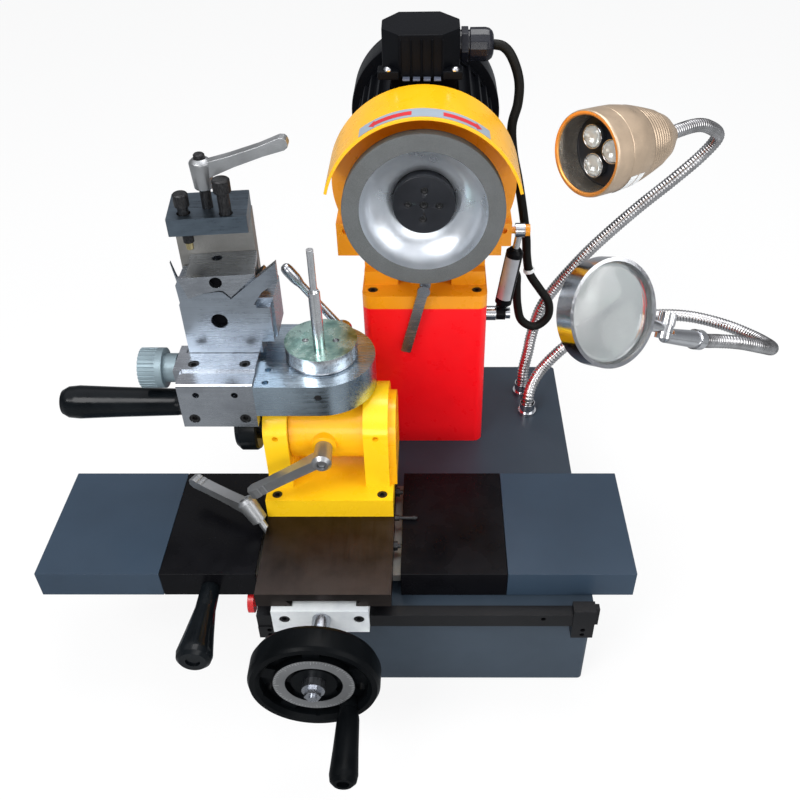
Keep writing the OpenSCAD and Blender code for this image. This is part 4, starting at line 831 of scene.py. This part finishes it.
def lamp_head():
    """Turned lamp shell with cooling ribs, three lenses and a plain label."""
    place = frame_at(LAMP_MOUTH, LAMP_DIRECTION)
    b = Build()
    outer = [(0, 22.0), (26.4, 22.0), (27.4, 20.5), (28.2, 9.0), (28.9, 1.6), (29.9, 0.3),
             (32.0, 0.0), (32.7, 0.8), (33.0, 2.4), (33.0, 17.5), (32.6, 17.8), (32.6, 18.3),
             (33.0, 18.6), (32.8, 30), (31.7, 38.5), (30.9, 43.0)]
    ribs = []
    for k in range(8):
        h = 44.0 + 3.9 * k
        r = 30.7 - 0.82 * k - 0.02 * k * k
        ribs += [(r, h), (r, h + 2.0), (r - 1.7, h + 2.5), (r - 1.7, h + 3.4)]
    rear = [(22.6, 75.6), (22.2, 77.5), (19.4, 85.0), (14.6, 92.2), (10.2, 97.0), (9.0, 101.0),
            (6.0, 101.0)]
    profile = outer + ribs + rear
    # tag 3 colours the lip inside the mouth orange: a painted reflection of the orange paint nearby
    tags = [1, 1, 2, 2, 3, 3] + [0] * (len(profile) - 6)
    b.lathe(profile, place, tags, 96)
    head = b.finish("lamp_shell", ["bronze", "hub_black", "lamp_wall", "lamp_lip_orange_reflection"], "base", "bronze")
    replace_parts(head, "lamp_head")
    optics = Build()
    for k in range(3):
        spot = (place @ Matrix.Rotation(math.radians(120 * k + LED_TURN), 4, "Z")
                @ Matrix.Translation((LED_CIRCLE_R * MM, 0, 0)))
        optics.lathe([(9.6, 21.9), (9.6, 15.6), (9.1, 14.9), (8.6, 15.4), (8.1, 17.0), (6.2, 20.2),
                      (0, 21.2)], spot, 0, 40)
        optics.lathe([(8.5, 16.2), (7.9, 14.9), (6.2, 13.8), (3.4, 13.1), (0, 12.9)], spot, 1, 40)
        optics.lathe([(2.3, 20.8), (2.3, 19.8), (0, 19.5)], spot, 2, 20)
    optics.finish("lamp_optics", ["chrome", "led", "led_dot"], "base", "chrome")
    label = Build()
    patch(label, place, 33.25, 198, 242, 20.5, 37.5, r_end=32.15)
    label.finish("lamp_label", ["label"], "base", "bronze")


def patch(b, place, r, a0, a1, h0, h1, thick=0.12, steps=16, mat=0, r_end=None):
    """A thin sheet wrapped on a cylinder, between two angles (degrees) and two heights."""
    verts = []
    for i in range(steps + 1):
        a = math.radians(a0 + (a1 - a0) * i / steps)
        for h, rr in ((h0, r), (h1, r_end or r)):
            for t in (0.0, thick):
                verts.append(((rr + t) * math.cos(a), (rr + t) * math.sin(a), h))
    faces = []
    for i in range(steps):
        p, q = 4 * i, 4 * i + 4
        faces += [(p + 1, q + 1, q + 3, p + 3), (p, p + 2, q + 2, q), (p, q, q + 1, p + 1),
                  (p + 2, p + 3, q + 3, q + 2)]
    faces += [(0, 1, 3, 2), (4 * steps, 4 * steps + 2, 4 * steps + 3, 4 * steps + 1)]
    b.add(verts, faces, mat, place)


M["led"] = led_glass()
M["lamp_wall"] = cast("lamp_wall", (0.50, 0.46, 0.40), 0.22, 0.85, 0.05)
# painted reflection: orange for the paint mirrored in the lamp's inner lip
M["lamp_lip_orange_reflection"] = cast("lamp_lip_orange_reflection", (0.85, 0.40, 0.11), 0.3, 0.7, 0.05)
M["led_dot"] = paint("led_chip", (0.75, 0.72, 0.35), 0.4, 0.05, 0.1, 0.0)
lamp_head()

# ---------------------------------------------------------------- guard strip and its arrows
guard_axis = frame_at((HEAD_X, 0, CUP_Z), (0, -1, 0))


def guard_strip():
    """Plain strip with two turning arrows at the front edge of the guard."""
    b = Build()
    # frame_at's x points to -X here, so angles run from the left side
    patch(b, guard_axis, 77.55, 51.0, 127.0, -30.5, -15.0, 0.15, 40, 0)
    for a0, a1 in ((60.0, 79.0), (96.0, 117.0)):
        left = a0 < 90
        tip, tail = (a0 - 3.5, a0) if left else (a1 + 3.5, a1)
        patch(b, guard_axis, 77.75, a0, a1, -25.5, -19.0, 0.1, 12, 1)
        verts = []
        for t in (0.0, 0.12):
            for a, h in ((tail, -28.0), (tail, -16.8), (tip, -22.4)):
                a = math.radians(a)
                verts.append(((77.75 + t) * math.cos(a), (77.75 + t) * math.sin(a), h))
        b.add(verts, [(0, 1, 2), (5, 4, 3), (0, 3, 4, 1), (1, 4, 5, 2), (2, 5, 3, 0)], 1, guard_axis)
    b.finish("guard_strip", ["strip_grey", "strip_red"], "head", "yellow_paint")


M["strip_grey"] = paint("strip_grey", (0.30, 0.36, 0.42), 0.4, 0.05, 0.06, 0.1)
M["strip_red"] = paint("strip_red", (0.60, 0.02, 0.03), 0.4, 0.05, 0.06, 0.1)
guard_strip()


# ---------------------------------------------------------------- magnifier
def lens_material():
    s = Shader("lens_glass")
    s.set(transmission=0.92, ior=1.5)
    haze = s.noise(26.0, 5.0)
    s.color(s.ramp(haze, [(0.3, (0.88, 0.95, 0.93)), (0.7, (0.97, 0.99, 0.985))]))
    s.rough(s.range(haze, 0.35, 0.75, 0.06, 0.22))
    s.bump(s.noise(120.0, 3.0), 0.05, 0.0002)
    return s.mat


M["lens"] = lens_material()
LENS_TURN = (Matrix.Translation(Vector((132, -62, 319)) * MM)
             @ Matrix.Rotation(math.radians(-56.6), 4, "Z")
             @ Matrix.Rotation(math.radians(90 - 24.2), 4, "Y")
             @ Matrix.Rotation(math.radians(60.4), 4, "Z"))


def lens():
    b = Build()
    b.lathe([(0, -5.6), (12, -5.3), (24, -4.3), (33, -2.9), (38.1, -1.8), (38.1, 1.8), (33, 2.9),
             (24, 4.3), (12, 5.3), (0, 5.6)], LENS_TURN, 0, 96)
    glass = b.finish("lens_glass", ["lens"], "lens", "glass")
    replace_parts(glass, "magnifier_glass")


lens()


# ---------------------------------------------------------------- turntable scale
def flat_text(text, size):
    """Outline mesh of a short number, as vertices and faces in millimetres."""
    curve = bpy.data.curves.new("number", "FONT")
    curve.body = text
    curve.size = size
    curve.align_x = "CENTER"
    curve.resolution_u = 2
    curve.extrude = 0.03
    obj = link(bpy.data.objects.new("number", curve))
    graph = bpy.context.evaluated_depsgraph_get()
    mesh = bpy.data.meshes.new_from_object(obj.evaluated_get(graph))
    verts = [tuple(v.co) for v in mesh.vertices]
    faces = [tuple(p.vertices) for p in mesh.polygons]
    bpy.data.objects.remove(obj)
    bpy.data.meshes.remove(mesh)
    return verts, faces


def wrapped(b, text, size, r, angle, height, place, mat=0):
    """A short number bent around a cylinder."""
    verts, faces = flat_text(text, size)
    out = []
    for x, y, z in verts:
        a = math.radians(angle) + x / r
        out.append(((r + z) * math.cos(a), (r + z) * math.sin(a), height + y))
    b.add(out, faces, mat, place)


def tick(b, r, angle, h0, h1, width, place, mat=0):
    """A mark of the given width on a cylinder."""
    patch(b, place, r, angle - math.degrees(width / 2 / r), angle + math.degrees(width / 2 / r),
          h0, h1, 0.04, 1, mat)


TURNTABLE_AT = (-82, -34, 263.2)


def turntable_scale():
    """Degree marks and numbers around the turntable, and the turned skirt below them."""
    place = Matrix.Translation(Vector(TURNTABLE_AT) * MM)
    b = Build()
    for k in range(0, 360, 2):
        tick(b, 28.51, k, 8.2 if k % 10 == 0 else 9.8, 11.6, 0.22, place)
    for k in range(0, 360, 20):
        reading = abs(k - 180)
        wrapped(b, str(reading), 2.9, 28.5, k + 0.5, 4.6, place)
    b.finish("turntable_marks", ["engraved"], "tilt", "dark_steel")
    skirt = Build()
    skirt.lathe([(23.0, -2.2), (28.1, -2.2), (28.4, -1.9), (28.4, 0.1), (23.0, 0.1)],
                place, 0, 96, closed=True)
    skirt.finish("turntable_skirt", ["steel"], "tilt", "ground_steel")


def engraved():
    s = Shader("engraved_mark")
    film = s.noise(200.0, 3.0)
    s.color(s.ramp(film, [(0.3, (0.03, 0.03, 0.035)), (0.7, (0.10, 0.10, 0.11))]))
    s.rough(s.range(film, 0.3, 0.7, 0.5, 0.7))
    return s.mat


M["engraved"] = engraved()
turntable_scale()


# ---------------------------------------------------------------- handwheel dial, gas spring label
HANDWHEEL_AT = (-81, -215, 109)
GAS_LOW, GAS_HIGH = (67, 72, 228.5), (79.4, 72, 312.7)


def wheel_dial():
    """Graduated ring on the hub of the handwheel."""
    place = frame_at(HANDWHEEL_AT, (0, -1, 0))
    b = Build()
    b.lathe([(21.2, 17.9), (21.2, 18.25), (29.8, 18.25), (29.8, 17.9)], place, 0, 96, closed=True)
    for k in range(80):
        r0 = 25.6 if k % 10 == 0 else (26.6 if k % 5 == 0 else 27.6)
        t = place @ Matrix.Rotation(math.radians(4.5 * k), 4, "Z")
        b.box((29.4 - r0, 0.18, 0.06), ((29.4 + r0) / 2, 0, 18.27), t, 1)
    b.finish("wheel_dial", ["dial_grey", "dial_mark"], "crossfeed", "lever_grey")


M["dial_grey"] = cast("dial_grey", (0.16, 0.165, 0.17), 0.45, 0.5, 0.2)
M["dial_mark"] = paint("dial_mark", (0.45, 0.46, 0.46), 0.5, 0.02, 0.05, 0.0)
wheel_dial()


def gas_label():
    """Plain silver label around the gas spring's body."""
    place = frame_at(GAS_LOW, Vector(GAS_HIGH) - Vector(GAS_LOW), (0, -1, 0))
    b = Build()
    patch(b, place, 7.53, 20, 128, 18, 60, 0.1, 16, 0)
    b.finish("gas_label", ["label_silver"], "gas_body", "lever_grey")


M["label_silver"] = cast("label_silver", (0.52, 0.53, 0.56), 0.35, 0.6, 0.1)
gas_label()

# ---------------------------------------------------------------- stage and light
def stage_material():
    s = Shader("floor_white")
    s.set(color=(0.86, 0.86, 0.86), rough=0.6, specular=0.2)
    path = s.nodes.new("ShaderNodeLightPath")
    seen = s.math("MAXIMUM", path.outputs["Is Camera Ray"], path.outputs["Is Glossy Ray"])
    seen = s.math("MAXIMUM", seen, path.outputs["Is Transmission Ray"])
    # a reflection sees a duller workshop floor
    patches = s.ramp(s.noise(3.2, 3.0), [(0.36, (0.10, 0.11, 0.12)), (0.62, (0.44, 0.46, 0.48))])
    glow = s.nodes.new("ShaderNodeEmission")
    s.link(s.mix(path.outputs["Is Glossy Ray"], (1.0, 1.0, 1.0), patches), glow.inputs["Color"])
    both = s.nodes.new("ShaderNodeMixShader")
    s.link(s.math("MULTIPLY", seen, 0.86), both.inputs[0])
    s.link(s.bsdf.outputs[0], both.inputs[1])
    s.link(glow.outputs[0], both.inputs[2])
    s.link(both.outputs[0], s.nodes["Material Output"].inputs["Surface"])
    return s.mat


def stage_floor():
    mesh = bpy.data.meshes.new("floor")
    r, n = 3.0, 48
    verts = [(r * math.cos(2 * math.pi * i / n), r * math.sin(2 * math.pi * i / n), -0.0002)
             for i in range(n)]
    mesh.from_pydata(verts, [], [tuple(range(n))])
    mesh.materials.append(stage_material())
    obj = bpy.data.objects.new("floor", mesh)
    bpy.context.scene.collection.objects.link(obj)


stage_floor()

world = bpy.data.worlds.new("studio")
bpy.context.scene.world = world
world.use_nodes = True
wt = world.node_tree
back = wt.nodes["Background"]
path = wt.nodes.new("ShaderNodeLightPath")
coord = wt.nodes.new("ShaderNodeTexCoord")
split = wt.nodes.new("ShaderNodeSeparateXYZ")
wt.links.new(coord.outputs["Generated"], split.inputs[0])
sky = wt.nodes.new("ShaderNodeValToRGB")
sky.color_ramp.elements[0].position = 0.0
sky.color_ramp.elements[0].color = (0.30, 0.31, 0.33, 1)
sky.color_ramp.elements[1].position = 1.0
sky.color_ramp.elements[1].color = (0.95, 0.96, 1.0, 1)
for place, grey in ((0.22, 0.10), (0.45, 0.17), (0.60, 0.46), (0.78, 1.0)):
    element = sky.color_ramp.elements.new(place)
    element.color = (grey, grey, grey * 1.04, 1)
wt.links.new(split.outputs["Z"], sky.inputs["Fac"])
seen = wt.nodes.new("ShaderNodeMixRGB")
wt.links.new(path.outputs["Is Glossy Ray"], seen.inputs["Fac"])
seen.inputs["Color1"].default_value = (0.62, 0.63, 0.65, 1)
wt.links.new(sky.outputs["Color"], seen.inputs["Color2"])
white = wt.nodes.new("ShaderNodeMixRGB")
wt.links.new(path.outputs["Is Camera Ray"], white.inputs["Fac"])
wt.links.new(seen.outputs["Color"], white.inputs["Color1"])
white.inputs["Color2"].default_value = (1, 1, 1, 1)
wt.links.new(white.outputs["Color"], back.inputs["Color"])
back.inputs["Strength"].default_value = 1.0


def lamp(name, place, target, size, power, size_y=None):
    data = bpy.data.lights.new(name, "AREA")
    data.shape = "RECTANGLE"
    data.size = size
    data.size_y = size_y or size
    data.energy = power
    obj = bpy.data.objects.new(name, data)
    obj.location = Vector(place) + HOME
    obj.rotation_euler = (Vector(target) - Vector(place)).to_track_quat("-Z", "Y").to_euler()
    bpy.context.scene.collection.objects.link(obj)


lamp("key", (-0.75, -0.9, 1.35), (0, 0, 0.2), 0.7, 14.0)
lamp("fill", (1.1, -0.6, 0.9), (0, 0, 0.2), 0.9, 7.0)
lamp("top", (0.1, 0.35, 1.5), (0, 0, 0.2), 0.8, 9.0)
lamp("front", (0.1, -1.5, 0.55), (0, 0, 0.2), 0.9, 5.0, 0.5)

bpy.context.scene.view_settings.view_transform = "Standard"
